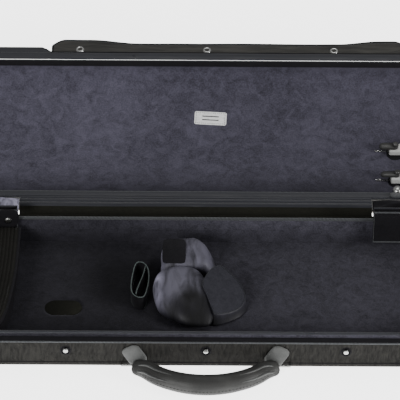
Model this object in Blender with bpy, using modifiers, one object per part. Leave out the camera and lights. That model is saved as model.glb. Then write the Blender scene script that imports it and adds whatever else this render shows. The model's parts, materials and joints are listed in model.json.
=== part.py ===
"""Oblong violin case, lying open, as an assembly of separate pieces (metres, +Z up).

X runs along the case, +Y points at the hinge, and the base stands on Z = 0. Each piece is
modelled where it sits with the lid shut; the lid's pivot then turns the lid open.
"""
import math

import bmesh
import bpy
from mathutils import Matrix, Vector

# Overall sizes
LENGTH = 0.800
WIDTH = 0.270
CORNER = 0.028
BASE_RIM = 0.0459
LID_RIM = 0.0464
ROOF_RISE = 0.032

# Hinge
HINGE_Y = 0.1553
HINGE_Z = 0.0442
OPEN_ANGLE = math.radians(170.26)

# Wall, from the outside in
GAP = 0.0003
SKIN = 0.0008
SHELL = 0.0070
PLUSH = 0.0030
SHELL_INSET = SKIN + GAP
PLUSH_INSET = SHELL_INSET + SHELL + GAP
WALL = PLUSH_INSET + PLUSH
VALANCE_INSET = WALL + 0.0005
VALANCE = 0.0018
VALANCE_LOW = 0.030
VALANCE_TOP = 0.051
BAY = VALANCE_INSET + VALANCE
BAY_CORNER = CORNER - BAY

# Floor
PANEL = 0.0028
FLOOR = 0.0070
RECESS_CENTRE = (-0.194, -0.019)
RECESS_LENGTH = 0.050
RECESS_WIDTH = 0.034

# Rim
COIL = 0.0013
TAPE = 0.0019
TAPE_INSET = 0.0016
COIL_INSET = -0.0002
BASE_TAPE_LOW = BASE_RIM - 2 * COIL
BASE_WALL_TOP = BASE_TAPE_LOW - GAP
LID_TAPE_LOW = LID_RIM + 0.0002
LID_WALL_LOW = LID_RIM + 2 * COIL + GAP
COIL_REAR_Y = 0.100

# Zip sliders
SLIDER_Y = 0.094
SLIDER_OFF_WALL = 0.0021
SLIDER_SIZE = (0.0045, 0.014, 0.011)
PULL_SIZE = (0.0016, 0.007, 0.026)
PULL_OFF_WALL = 0.0082
PULL_ABOVE_PIN = 0.0008

# Storm flap and its snaps
FLAP_Y = -0.1388
FLAP_Z = 0.0500
FLAP = 0.0016
FLAP_LEFT = -0.228
FLAP_RIGHT = 0.300
FLAP_DEEP_LEFT = -0.152
FLAP_DEEP_RIGHT = 0.205
FLAP_LENGTH = 0.0327
FLAP_LENGTH_DEEP = 0.0395
FLAP_SLOPE = 0.012
GUSSET = 0.0125
GUSSET_WIDE = 0.0220
GUSSET_CLEAR = 0.006
SNAP_X = (-0.186, 0.002, 0.190)
SNAP_NAMES = ("left", "middle", "right")
SNAP_Z = 0.0305
SNAP_REACH = FLAP_Z - SNAP_Z

# Handle
HANDLE_X = 0.002
HANDLE_SPACING = 0.102
PIVOT_Y = -0.1420
PIVOT_Z = 0.0100
PATCH_WIDTH = 0.024
PATCH_TOP = 0.040
PATCH_LOW = 0.0145
PATCH = 0.0015
LOOP_WIDTH = 0.022
LOOP_WIRE = 0.0016
STRAP = 0.016
GRIP_Y = -0.1846
GRIP_RADIUS = 0.014
GRIP_TAPER = 0.45
GRIP_END_LEAN = 0.0050
SLEEVE = 0.0040
STRAP_END = 0.0075
STRAP_END_Y = -0.1560
STRAP_END_Z = 0.0092

# Neck cradle
CRADLE_TOP = 0.0455
CRADLE_FRONT = ((-0.0735, -0.071), (0.010, 0.026))
CRADLE_REAR = ((-0.064, 0.0275), (0.014, 0.0925))
RAMP_X = (0.0115, 0.0570)
RAMP_Y = (-0.058, 0.033)
HOOK_PATCH = (-0.0425, 0.0560)
HOOK_PATCH_SIZE = (0.032, 0.048)

# Neck strap, a band looped on its edge
STRAP_CENTRE = (-0.0890, 0.0125)
STRAP_LOOP = (0.026, 0.075)
STRAP_BAND = 0.0016
STRAP_HEIGHT = 0.022

# Rear pockets
POCKET_LEFT = (-0.371, -0.262)
POCKET_RIGHT = (0.236, 0.371)
POCKET_FRONT = 0.1116
POCKET_REAR = 0.1208
POCKET_LOW = 0.0175
POCKET_TOP = 0.0715
POCKET_SHEET = 0.0018
TAB_X = -0.275
TAB_WIDTH = 0.028
TAB_LENGTH = 0.0262
TAB_THICKNESS = 0.0020
TAB_CORNER = 0.008
TAB_SNAP_UP = 0.009
TAB_LIFT = 0.0010
TAB_GAP = 0.0005

# Left compartment
DIVIDER = 0.0036
DIVIDER_GAP = 0.0005
DIVIDER_SETBACK = 0.0010
COMPARTMENT_ROOM = 0.0010
POCKET_TO_LID = 0.0050
EDGE_CORNER = 0.003
EDGE_RUNOUT = 0.010
COMPARTMENT_EDGE = (
    (-0.2590, 0.105), (-0.2590, 0.080), (-0.2593, 0.050), (-0.2600, 0.020), (-0.2618, -0.010),
    (-0.2645, -0.040), (-0.2682, -0.068), (-0.2735, -0.090), (-0.2810, -0.106), (-0.2910, -0.116),
)
COMPARTMENT_LID_LOW = 0.0420
COMPARTMENT_LID = 0.0030
COMPARTMENT_HINGE_X = -0.3745

# Bow holders, places across the lid when it is shut
BOW_Y = {"front": -0.003, "rear": 0.0626}
SPINNER_X = 0.277
TIP_X = -0.3725
SEAT_SIZE = (0.018, 0.016, 0.010)
TOGGLE_LENGTH = 0.028
TOGGLE_OFFSET = -0.010
TOGGLE_WIDTH = 0.012
TOGGLE = 0.005
TIP_SLEEVE = (0.028, 0.026, 0.020)
LABEL_PLACE = (0.0077, -0.0635)
LABEL_SIZE = (0.047, 0.022)
LABEL_TURN = math.radians(3)

# Faceting
CORNER_STEPS = 5
ROUND_STEPS = 16
ROOF_STEP = math.radians(4.45)

# Vaulted lid: a round roof of this radius stands on the side walls, as high as lets the open
# lid rest on the ground with the facet that then lies level.
TILT = math.pi - OPEN_ANGLE
ROOF_RADIUS = ((WIDTH / 2) ** 2 + ROOF_RISE ** 2) / (2 * ROOF_RISE)
REST_HEIGHT = (HINGE_Z - math.sin(TILT) * (ROOF_RADIUS * math.sin(TILT) - HINGE_Y)) / math.cos(TILT)
ROOF_CENTRE_Z = HINGE_Z + REST_HEIGHT - ROOF_RADIUS * math.cos(TILT)
ROOF_NORMALS = [TILT + step * ROOF_STEP for step in range(-8, 5)]

COLOURS = {
    "ballistic_cloth": ((0.020, 0.021, 0.023), 0.75, 0.0),
    "board": ((0.10, 0.085, 0.07), 0.85, 0.0),
    "plush": ((0.035, 0.033, 0.042), 0.95, 0.0),
    "velvet": ((0.06, 0.06, 0.07), 0.8, 0.0),
    "trim": ((0.22, 0.23, 0.24), 0.5, 0.0),
    "webbing": ((0.025, 0.025, 0.028), 0.8, 0.0),
    "nickel": ((0.72, 0.72, 0.73), 0.25, 1.0),
    "soft_plastic": ((0.55, 0.55, 0.56), 0.45, 0.0),
    "leatherette": ((0.03, 0.03, 0.032), 0.5, 0.0),
    "label": ((0.75, 0.75, 0.76), 0.6, 0.0),
}


# --- scene and helpers -------------------------------------------------------------------

def clear_scene():
    """Remove every object and start two collections: the case and its cutters."""
    for obj in list(bpy.data.objects):
        bpy.data.objects.remove(obj, do_unlink=True)
    made = []
    for name in ("violin_case", "cutters"):
        collection = bpy.data.collections.new(name)
        bpy.context.scene.collection.children.link(collection)
        made.append(collection)
    return made


CASE, CUTTERS = clear_scene()


def material(kind):
    """The shared look of one kind of stuff, as a plain Principled material."""
    found = bpy.data.materials.get(kind)
    if found:
        return found
    colour, roughness, metallic = COLOURS[kind]
    made = bpy.data.materials.new(kind)
    made.use_nodes = True
    shader = made.node_tree.nodes["Principled BSDF"]
    shader.inputs["Base Color"].default_value = (*colour, 1.0)
    shader.inputs["Roughness"].default_value = roughness
    shader.inputs["Metallic"].default_value = metallic
    return made


def add_object(name, data, kind=None):
    """Link an object; a piece of the case has a material kind, a cutter has none."""
    obj = bpy.data.objects.new(name, data)
    if kind:
        CASE.objects.link(obj)
        own = material(kind).copy()
        own.name = f"{name}_{kind}"
        data.materials.append(own)
    else:
        CUTTERS.objects.link(obj)
        obj.hide_render = True
        obj.display_type = "WIRE"
    return obj


def pivot(name, location, parent=None, slope=0.0):
    """An empty on a joint's axis, turned about X by slope."""
    empty = bpy.data.objects.new(name, None)
    CASE.objects.link(empty)
    if parent:
        empty.parent = parent
        empty.matrix_parent_inverse = Matrix.Translation(-parent.location)
    empty.location = location
    empty.rotation_euler.x = slope
    return empty


def hang_on(empty, *pieces):
    """Parent pieces to a pivot; they keep the places they were modelled in."""
    for piece in pieces:
        piece.parent = empty
        piece.matrix_parent_inverse = Matrix.Translation(-Vector(empty.location))


def fix_to(empty, *pieces):
    """Parent pieces that are modelled in the empty's own space."""
    for piece in pieces:
        piece.parent = empty


def arc(centre, radius, start, sweep, steps):
    """Points of an arc, both ends included."""
    points = []
    for step in range(steps + 1):
        angle = start + sweep * step / steps
        points.append((centre[0] + radius * math.cos(angle), centre[1] + radius * math.sin(angle)))
    return points


def circle(centre, radius, steps=ROUND_STEPS):
    """Points of a whole circle."""
    return arc(centre, radius, 0.0, 2 * math.pi, steps)[:-1]


def rounded(length, width, radius, centre=(0.0, 0.0), steps=CORNER_STEPS):
    """A rectangle with round corners."""
    points = []
    for corner, (side_x, side_y) in enumerate(((1, 1), (-1, 1), (-1, -1), (1, -1))):
        middle = (centre[0] + side_x * (length / 2 - radius), centre[1] + side_y * (width / 2 - radius))
        points += arc(middle, radius, corner * math.pi / 2, math.pi / 2, steps)
    return points


def plan(inset):
    """The case's outline seen from above, moved inwards by an inset."""
    return rounded(LENGTH - 2 * inset, WIDTH - 2 * inset, CORNER - inset)


def flat(name, outlines, thickness, kind=None):
    """An outline (and its holes) with a thickness, centred on its own origin in Z."""
    curve = bpy.data.curves.new(name, "CURVE")
    curve.dimensions = "2D"
    curve.fill_mode = "BOTH"
    curve.extrude = thickness / 2
    for outline in outlines:
        spline = curve.splines.new("POLY")
        spline.points.add(len(outline) - 1)
        for point, (x, y) in zip(spline.points, outline):
            point.co = (x, y, 0.0, 1.0)
        spline.use_cyclic_u = True
    return add_object(name, curve, kind)


def plate(name, outlines, low, high, kind=None):
    """An upright prism between two heights."""
    obj = flat(name, outlines, high - low, kind)
    obj.location.z = (low + high) / 2
    return obj


def across(name, outlines, x_low, x_high, kind):
    """A prism along X; its outlines are given as (y, z)."""
    obj = flat(name, outlines, x_high - x_low, kind)
    obj.rotation_euler = (math.pi / 2, 0.0, math.pi / 2)
    obj.location.x = (x_low + x_high) / 2
    return obj


def facing_front(name, outlines, y_front, y_rear, kind):
    """A prism along Y; its outlines are given as (x, z)."""
    obj = flat(name, outlines, y_rear - y_front, kind)
    obj.rotation_euler.x = math.pi / 2
    obj.location.y = (y_front + y_rear) / 2
    return obj


def wire(name, points, radius, kind, closed=False):
    """A round bead along a path."""
    curve = bpy.data.curves.new(name, "CURVE")
    curve.dimensions = "3D"
    curve.bevel_depth = radius
    curve.bevel_resolution = 1
    curve.use_fill_caps = not closed
    spline = curve.splines.new("POLY")
    spline.points.add(len(points) - 1)
    for point, place in zip(spline.points, points):
        point.co = (*place, 1.0)
    spline.use_cyclic_u = closed
    return add_object(name, curve, kind)


def box(name, low, high, kind=None, bevel=0.0, segments=2):
    """A box between two corners, with rounded edges where a bevel is given."""
    mesh = bpy.data.meshes.new(name)
    shape = bmesh.new()
    bmesh.ops.create_cube(shape, size=1.0)
    sizes = Vector(high) - Vector(low)
    bmesh.ops.scale(shape, vec=sizes, verts=shape.verts)
    shape.to_mesh(mesh)
    shape.free()
    obj = add_object(name, mesh, kind)
    obj.location = (Vector(low) + Vector(high)) / 2
    if bevel:
        rounding = obj.modifiers.new("rounded_edges", "BEVEL")
        rounding.width = bevel
        rounding.segments = segments
    return obj


def turned(name, profile, kind):
    """A solid of revolution about its own Z, from an open profile that ends on the axis."""
    mesh = bpy.data.meshes.new(name)
    points = [(radius, 0.0, height) for radius, height in profile]
    mesh.from_pydata(points, [(i, i + 1) for i in range(len(points) - 1)], [])
    obj = add_object(name, mesh, kind)
    screw = obj.modifiers.new("turn", "SCREW")
    screw.steps = ROUND_STEPS
    screw.render_steps = ROUND_STEPS
    screw.use_merge_vertices = True
    screw.merge_threshold = 0.00005
    screw.use_normal_flip = True
    return obj


def cut(obj, cutter):
    """Take a cutter away from a piece."""
    hole = obj.modifiers.new(cutter.name, "BOOLEAN")
    hole.operation = "DIFFERENCE"
    hole.solver = "EXACT"
    hole.object = cutter
    return obj


def vault(name, inset, roof_inset, low, kind=None):
    """The lid's solid block: the plan outline raised from low and shaved by the roof's facets."""
    mesh = bpy.data.meshes.new(name)
    shape = bmesh.new()
    foot = [shape.verts.new((x, y, low)) for x, y in plan(inset)]
    base = shape.faces.new(foot)
    raised = bmesh.ops.extrude_face_region(shape, geom=[base])["geom"]
    top = [item for item in raised if isinstance(item, bmesh.types.BMVert)]
    bmesh.ops.translate(shape, vec=(0.0, 0.0, 0.2), verts=top)
    bmesh.ops.recalc_face_normals(shape, faces=shape.faces)
    for angle in ROOF_NORMALS:
        normal = Vector((0.0, math.sin(angle), math.cos(angle)))
        point = Vector((0.0, 0.0, ROOF_CENTRE_Z)) + normal * (ROOF_RADIUS - roof_inset)
        everything = list(shape.verts) + list(shape.edges) + list(shape.faces)
        bmesh.ops.bisect_plane(shape, geom=everything, plane_co=point, plane_no=normal, clear_outer=True)
        open_edges = [edge for edge in shape.edges if edge.is_boundary]
        bmesh.ops.holes_fill(shape, edges=open_edges)
    bmesh.ops.recalc_face_normals(shape, faces=shape.faces)
    shape.to_mesh(mesh)
    shape.free()
    return add_object(name, mesh, kind)


def roof_slope(y):
    """How far the roof leans from level at a place across the lid."""
    return math.asin(y / ROOF_RADIUS)


def ceiling(x, y):
    """The point on the lid lining's ceiling above a place."""
    slope = roof_slope(y)
    reach = ROOF_RADIUS - WALL
    return Vector((x, reach * math.sin(slope), ROOF_CENTRE_Z + reach * math.cos(slope)))


# --- base --------------------------------------------------------------------------------

def make_base_walls():
    """Bottom panel, shell, outer cloth, plush wall and the raised dust lip."""
    plate("base_bottom_panel", [plan(0.0)], 0.0, PANEL, "ballistic_cloth")
    low = PANEL + GAP
    plate("base_cover", [plan(0.0), plan(SKIN)], low, BASE_WALL_TOP, "ballistic_cloth")
    plate("base_shell", [plan(SHELL_INSET), plan(SHELL_INSET + SHELL)], low, BASE_WALL_TOP, "board")
    plate("base_lining", [plan(PLUSH_INSET), plan(WALL)], low, BASE_WALL_TOP, "plush")
    plate("base_valance", [plan(VALANCE_INSET), plan(BAY)], VALANCE_LOW, VALANCE_TOP, "trim")


def make_floor():
    """Plush floor pad with the oval recess for the scroll."""
    recess = rounded(RECESS_LENGTH, RECESS_WIDTH, RECESS_WIDTH / 2 - 0.0005, RECESS_CENTRE)
    plate("floor_pad", [plan(WALL + GAP), recess], PANEL + GAP, FLOOR, "plush")


def zip_path(height):
    """The zip's way round the front and both ends, from hinge side to hinge side."""
    outline = plan(COIL_INSET)
    quarter = CORNER_STEPS + 1
    front = outline[2 * quarter:]
    half = LENGTH / 2 - COIL_INSET
    path = [(-half, COIL_REAR_Y), *front, (half, COIL_REAR_Y)]
    return [(x, y, height) for x, y in path]


def rear_path(height):
    """The piping's way along the hinge side."""
    outline = plan(COIL_INSET)
    quarter = CORNER_STEPS + 1
    return [(x, y, height) for x, y in outline[:2 * quarter]]


def make_rim(side, tape_low, coil_height):
    """Flat zip tape on the rim, the zip coil at its outer edge and the piping at the hinge."""
    tape_high = tape_low + TAPE
    tape = plate(f"{side}_zip_tape", [plan(TAPE_INSET), plan(WALL)], tape_low, tape_high, "webbing")
    coil = wire(f"{side}_zip_coil", zip_path(coil_height), COIL, "trim")
    piping = wire(f"{side}_hinge_piping", rear_path(coil_height), COIL, "trim")
    return tape, coil, piping


def make_slider(side, direction):
    """Zip slider on an end wall's straight run, with its hanging pull."""
    wall = direction * LENGTH / 2
    near = wall + direction * SLIDER_OFF_WALL
    far = near + direction * SLIDER_SIZE[0]
    middle_z = (BASE_RIM + LID_RIM) / 2
    body = box(
        f"zip_slider_{side}",
        (min(near, far), SLIDER_Y - SLIDER_SIZE[1] / 2, middle_z - SLIDER_SIZE[2] / 2),
        (max(near, far), SLIDER_Y + SLIDER_SIZE[1] / 2, middle_z + SLIDER_SIZE[2] / 2),
        "nickel",
        bevel=0.0012,
    )
    hang_on(pivot(f"zip_slide_{side}_axis", (near, SLIDER_Y, middle_z)), body)
    hinge_x = wall + direction * PULL_OFF_WALL
    top = middle_z + PULL_ABOVE_PIN
    outline = rounded(PULL_SIZE[1], PULL_SIZE[2], 0.0030, (SLIDER_Y, top - PULL_SIZE[2] / 2))
    eye = rounded(0.0030, 0.0060, 0.0014, (SLIDER_Y, top - PULL_SIZE[2] + 0.006))
    pull = across(
        f"zip_pull_{side}", [outline, eye], hinge_x - PULL_SIZE[0] / 2, hinge_x + PULL_SIZE[0] / 2, "nickel"
    )
    hang_on(pivot(f"zip_pull_{side}_axis", (hinge_x, SLIDER_Y, middle_z)), pull)


def make_snap_studs():
    """Snap studs on the front wall."""
    for side, x in zip(SNAP_NAMES, SNAP_X):
        profile = [(0.0, 0.0), (0.0058, 0.0), (0.0064, 0.0003), (0.0064, 0.0006),
                   (0.0028, 0.0007), (0.0022, 0.0012), (0.0026, 0.0022), (0.0, 0.0026)]
        stud = turned(f"snap_stud_{side}", profile, "nickel")
        stud.rotation_euler.x = math.pi / 2
        stud.location = (x, -WIDTH / 2 - GAP / 2, SNAP_Z)


# --- handle ------------------------------------------------------------------------------

def make_handle():
    """Wall patches and wire loops on the base; straps and padded grip on the pivot."""
    axis = pivot("handle_axis", (HANDLE_X, PIVOT_Y, PIVOT_Z))
    patch_rear = -WIDTH / 2 - GAP
    for side, direction in (("left", -1), ("right", 1)):
        middle = HANDLE_X + direction * HANDLE_SPACING
        height = PATCH_TOP - PATCH_LOW
        outline = rounded(PATCH_WIDTH, height, 0.010, (middle, (PATCH_TOP + PATCH_LOW) / 2))
        facing_front(f"handle_patch_{side}", [outline], patch_rear - PATCH, patch_rear, "leatherette")
        half = LOOP_WIDTH / 2
        loop = [(middle - half, patch_rear - LOOP_WIRE, PIVOT_Z),
                (middle - half, PIVOT_Y, PIVOT_Z),
                (middle + half, PIVOT_Y, PIVOT_Z),
                (middle + half, patch_rear - LOOP_WIRE, PIVOT_Z)]
        wire(f"handle_loop_{side}", loop, LOOP_WIRE, "nickel")
        strap = across(
            f"handle_strap_{side}", [strap_outline(), circle((PIVOT_Y, PIVOT_Z), LOOP_WIRE + 0.0006)],
            middle - STRAP / 2, middle + STRAP / 2, "leatherette",
        )
        hang_on(axis, strap)
    reach = HANDLE_SPACING - STRAP / 2 - GRIP_END_LEAN
    path, swell = grip_path(reach)
    grip = wire("handle_grip", path, GRIP_RADIUS, "leatherette")
    grip.data.bevel_resolution = 3
    for point, share in zip(grip.data.splines[0].points, swell):
        point.radius = share
    hang_on(axis, grip)


def strap_outline():
    """Side view of a handle strap: a sleeve round the wire joined to the grip's rounded end."""
    reach = math.hypot(STRAP_END_Y - PIVOT_Y, STRAP_END_Z - PIVOT_Z)
    heading = math.atan2(STRAP_END_Z - PIVOT_Z, STRAP_END_Y - PIVOT_Y)
    spread = math.acos((STRAP_END - SLEEVE) / reach)
    sweep = 2 * (math.pi - spread)
    points = arc((STRAP_END_Y, STRAP_END_Z), STRAP_END, heading - math.pi + spread, sweep, 12)
    points += arc((PIVOT_Y, PIVOT_Z), SLEEVE, heading + math.pi - spread, 2 * spread, 8)
    return points


def grip_path(reach):
    """The bowed grip's centre line, and how thick it is at each point beside its middle."""
    path, swell = [], []
    steps = 14
    for step in range(steps + 1):
        along = -1 + 2 * step / steps
        share = 1 - GRIP_TAPER * abs(along) ** 1.6
        y = GRIP_Y + (STRAP_END_Y - GRIP_Y) * abs(along) ** 2.2
        path.append((HANDLE_X + reach * along, y, GRIP_RADIUS * share))
        swell.append(share)
    return path, swell


# --- lid ---------------------------------------------------------------------------------

def make_lid_shells(axis):
    """Vaulted lid: roof cloth, side cloth, shell and plush lining."""
    below = LID_RIM - 0.010
    core = vault("lid_core_cutter", -0.005, SKIN, below)
    roof = cut(vault("lid_roof_cover", 0.0, 0.0, LID_WALL_LOW, "ballistic_cloth"), core)
    side_cutter = vault("lid_side_cutter", SKIN, -0.020, below)
    side = cut(vault("lid_side_cover", 0.0, SHELL_INSET, LID_WALL_LOW, "ballistic_cloth"), side_cutter)
    hollow = vault("lid_shell_cutter", SHELL_INSET + SHELL, SHELL_INSET + SHELL, below)
    shell = cut(vault("lid_shell", SHELL_INSET, SHELL_INSET, LID_WALL_LOW, "board"), hollow)
    room = vault("lid_room_cutter", WALL, WALL, below)
    lining = cut(vault("lid_lining", PLUSH_INSET, PLUSH_INSET, LID_WALL_LOW, "velvet"), room)
    hang_on(axis, core, roof, side_cutter, side, hollow, shell, room, lining)


def make_storm_flap(lid_axis):
    """Flap over the zip, its binding on the lid, and the snap caps through it."""
    near, far, wide = FLAP_Y - 0.0004, FLAP_Y - GUSSET, FLAP_Y - GUSSET_WIDE
    left, right = FLAP_LEFT - GUSSET_CLEAR, FLAP_RIGHT + GUSSET_CLEAR
    end = LENGTH / 2 - CORNER
    band = [(end, near), (-end, near), (-end, wide), (left, wide), (left, far),
            (right, far), (right, wide), (end, wide)]
    high = FLAP_Z - FLAP / 2 - GAP
    gusset = plate("zip_gusset", [band], high - SKIN, high, "webbing")
    binding = box(
        "flap_binding", (FLAP_LEFT, FLAP_Y + 0.0004, FLAP_Z + 0.0012),
        (FLAP_RIGHT, -WIDTH / 2 - GAP, FLAP_Z + 0.0042), "webbing",
    )
    hang_on(lid_axis, binding)
    axis = pivot("flap_axis", (0.0, FLAP_Y, FLAP_Z), lid_axis)
    root = FLAP_Y - 0.0004
    shallow = FLAP_Y - FLAP_LENGTH
    deep = FLAP_Y - FLAP_LENGTH_DEEP
    corner = 0.010
    outline = [(FLAP_RIGHT, root), (FLAP_LEFT, root)]
    outline += arc((FLAP_LEFT + corner, deep + corner), corner, math.pi, math.pi / 2, CORNER_STEPS)
    outline += [(FLAP_DEEP_LEFT, deep), (FLAP_DEEP_LEFT + FLAP_SLOPE, shallow)]
    outline += [(FLAP_DEEP_RIGHT - FLAP_SLOPE, shallow), (FLAP_DEEP_RIGHT, deep)]
    outline += arc((FLAP_RIGHT - corner, deep + corner), corner, -math.pi / 2, math.pi / 2, CORNER_STEPS)
    row = FLAP_Y - SNAP_REACH
    holes = [circle((x, row), 0.0042) for x in SNAP_X]
    flap = plate("storm_flap", [outline, *holes], FLAP_Z - FLAP / 2, FLAP_Z + FLAP / 2, "ballistic_cloth")
    hang_on(axis, flap, gusset)
    for side, x in zip(SNAP_NAMES, SNAP_X):
        profile = [(0.0, 0.0010), (0.0031, 0.0010), (0.0031, -0.0013), (0.0055, -0.0013),
                   (0.0060, -0.0003), (0.0037, -0.0003), (0.0037, 0.0019), (0.0068, 0.0019),
                   (0.0060, 0.0031), (0.0035, 0.0039), (0.0, 0.0041)]
        cap = turned(f"flap_snap_{side}", profile, "nickel")
        cap.location = (x, row, FLAP_Z - FLAP / 2)
        hang_on(axis, cap)


def make_bow_holders(lid_axis):
    """Turn buttons that hold the bow frogs, and sleeves for the bow tips."""
    for place, y in BOW_Y.items():
        seat_pivot = pivot(f"bow_spinner_{place}_axis", ceiling(SPINNER_X, y), lid_axis, -roof_slope(y))
        top = -0.0005
        foot = top - SEAT_SIZE[2]
        half_x, half_y = SEAT_SIZE[0] / 2, SEAT_SIZE[1] / 2
        seat = box(
            f"bow_seat_{place}", (-half_x, -half_y, foot), (half_x, half_y, top), "soft_plastic", bevel=0.002
        )
        button = rounded(TOGGLE_LENGTH, TOGGLE_WIDTH, TOGGLE_WIDTH / 2 - 0.0002, (TOGGLE_OFFSET, 0.0))
        toggle = plate(f"bow_spinner_{place}", [button], foot - GAP - TOGGLE, foot - GAP, "soft_plastic")
        knob = [(0.0, -0.0050), (0.0035, -0.0045), (0.0045, -0.0030), (0.0045, 0.0), (0.0, 0.0)]
        cap = turned(f"bow_spinner_cap_{place}", knob, "soft_plastic")
        cap.location.z = foot - TOGGLE - 2 * GAP
        fix_to(seat_pivot, seat, toggle, cap)
        tip_pivot = pivot(f"bow_tip_{place}_frame", ceiling(TIP_X, y), lid_axis, -roof_slope(y))
        length, width, height = TIP_SLEEVE
        ring = [rounded(width, height, 0.004, (0.0, top - height / 2 - GAP)),
                rounded(width - 0.006, height - 0.006, 0.002, (0.0, top - height / 2 - GAP))]
        sleeve = across(f"bow_tip_sleeve_{place}", ring, -length / 2, length / 2, "velvet")
        fix_to(tip_pivot, sleeve)


def make_label(lid_axis):
    """Blank owner's label on the lid's lining."""
    x, y = LABEL_PLACE
    frame = pivot("label_frame", ceiling(x, y), lid_axis, -roof_slope(y))
    label = plate("owner_label", [rounded(*LABEL_SIZE, 0.003)], -0.0012, -0.0006, "label")
    label.rotation_euler.z = LABEL_TURN
    fix_to(frame, label)


# --- hinge side --------------------------------------------------------------------------

def make_hinge_cloth():
    """Cloth between base and lid: the long strip, and a soft gusset past each of its ends."""
    near = WIDTH / 2 + 0.0018
    roll = [(near, 0.0370), (near, 0.0345), (0.1450, 0.0345), (0.1600, 0.0360), (0.1735, 0.0385),
            (0.1735, 0.0415), (0.1680, 0.0450), (0.1600, 0.0462), (0.1520, 0.0448), (0.1450, 0.0395)]
    across("hinge_strip", [roll], POCKET_LEFT[1], POCKET_RIGHT[0], "leatherette")
    puff = [(near, 0.0470), (near, 0.0360), (0.1550, 0.0340), (0.1735, 0.0370), (0.1735, 0.0420),
            (0.1700, 0.0500), (0.1600, 0.0540), (0.1450, 0.0530)]
    end = LENGTH / 2 - CORNER
    across("hinge_gusset_left", [puff], -end, POCKET_LEFT[1] - 0.001, "velvet")
    across("hinge_gusset_right", [puff], POCKET_RIGHT[0] + 0.001, end, "velvet")


# --- inside the base ---------------------------------------------------------------------

def make_cradle():
    """Neck cradle: two padded lobes, a flat-faced ramp and a hook-and-loop patch."""
    low = FLOOR + GAP
    for name, (near, far) in (("cradle_front_lobe", CRADLE_FRONT), ("cradle_rear_lobe", CRADLE_REAR)):
        box(name, (*near, low), (*far, CRADLE_TOP), "velvet", 0.016, 3)
    left, right = RAMP_X
    ramp = [(left, low), (right, low), (right - 0.002, 0.018), (left + 0.0045, CRADLE_TOP - 0.003),
            (left, CRADLE_TOP - 0.006)]
    facing_front("cradle_ramp", [ramp], *RAMP_Y, "velvet")
    patch = rounded(*HOOK_PATCH_SIZE, 0.005, HOOK_PATCH)
    plate("hook_patch", [patch], CRADLE_TOP + GAP, CRADLE_TOP + 0.0025, "webbing")


def make_neck_strap():
    """A band looped back on itself, standing on its edge beside the cradle."""
    width, length = STRAP_LOOP
    outer = rounded(width, length, width / 2 - 0.0003, STRAP_CENTRE)
    bend = width / 2 - STRAP_BAND - 0.0003
    inside = rounded(width - 2 * STRAP_BAND, length - 2 * STRAP_BAND, bend, STRAP_CENTRE)
    low = FLOOR + GAP
    strap = plate("neck_strap", [outer, inside], low, low + STRAP_HEIGHT, "webbing")
    hang_on(pivot("neck_strap_axis", (STRAP_CENTRE[0] - width / 2, STRAP_CENTRE[1], low)), strap)


def make_pocket(side, left, right):
    """Flat pocket on the rear wall, open at its top."""
    pocket = box(
        f"rear_pocket_{side}", (left, POCKET_FRONT, POCKET_LOW), (right, POCKET_REAR, POCKET_TOP), "velvet"
    )
    room = box(
        f"rear_pocket_{side}_cutter",
        (left + POCKET_SHEET, POCKET_FRONT + POCKET_SHEET, POCKET_LOW + POCKET_SHEET),
        (right - POCKET_SHEET, POCKET_REAR - POCKET_SHEET, POCKET_TOP + 0.010),
    )
    cut(pocket, room)


def make_pocket_tab():
    """Closing tab that hangs over the front of the left pocket, with its snap."""
    front = POCKET_FRONT - TAB_GAP
    axis_z = POCKET_TOP + TAB_LIFT
    outline = rounded(TAB_WIDTH, TAB_LENGTH, TAB_CORNER, (TAB_X, axis_z - TAB_LENGTH / 2))
    tab = facing_front("pocket_tab", [outline], front - TAB_THICKNESS, front, "webbing")
    snap = turned(
        "pocket_tab_snap",
        [(0.0, 0.0), (0.0050, 0.0), (0.0050, 0.0006), (0.0030, 0.0016), (0.0, 0.0019)], "nickel",
    )
    snap.rotation_euler.x = math.pi / 2
    snap.location = (TAB_X, front - TAB_THICKNESS - GAP, axis_z - TAB_LENGTH + TAB_SNAP_UP)
    hang_on(pivot("pocket_tab_axis", (TAB_X, front - TAB_THICKNESS / 2, axis_z)), tab, snap)


def make_left_compartment():
    """Curved divider and lid of the accessory compartment at the left end."""
    top = COMPARTMENT_LID_LOW - DIVIDER_GAP
    front = -WIDTH / 2 + BAY + COMPARTMENT_ROOM
    rear = POCKET_FRONT - POCKET_TO_LID
    edge = list(COMPARTMENT_EDGE)
    outside = [(x - DIVIDER_SETBACK, y) for x, y in edge]
    inside = [(x - DIVIDER_SETBACK - DIVIDER, y) for x, y in reversed(edge)]
    plate("compartment_divider", [outside + inside], FLOOR + GAP, top, "webbing")
    back = COMPARTMENT_HINGE_X - COMPARTMENT_LID / 2
    outline = [(edge[0][0] - EDGE_CORNER, rear), *edge, (edge[-1][0] - EDGE_RUNOUT, front)]
    middle = back + BAY_CORNER
    outline += arc((middle, front + BAY_CORNER), BAY_CORNER, -math.pi / 2, -math.pi / 2, CORNER_STEPS)
    outline += arc((middle, rear - BAY_CORNER), BAY_CORNER, math.pi, -math.pi / 2, CORNER_STEPS)
    lid = plate(
        "compartment_lid", [outline], COMPARTMENT_LID_LOW, COMPARTMENT_LID_LOW + COMPARTMENT_LID, "velvet"
    )
    axis_z = COMPARTMENT_LID_LOW + COMPARTMENT_LID / 2
    hang_on(pivot("compartment_lid_axis", (COMPARTMENT_HINGE_X, 0.0, axis_z)), lid)


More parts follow.
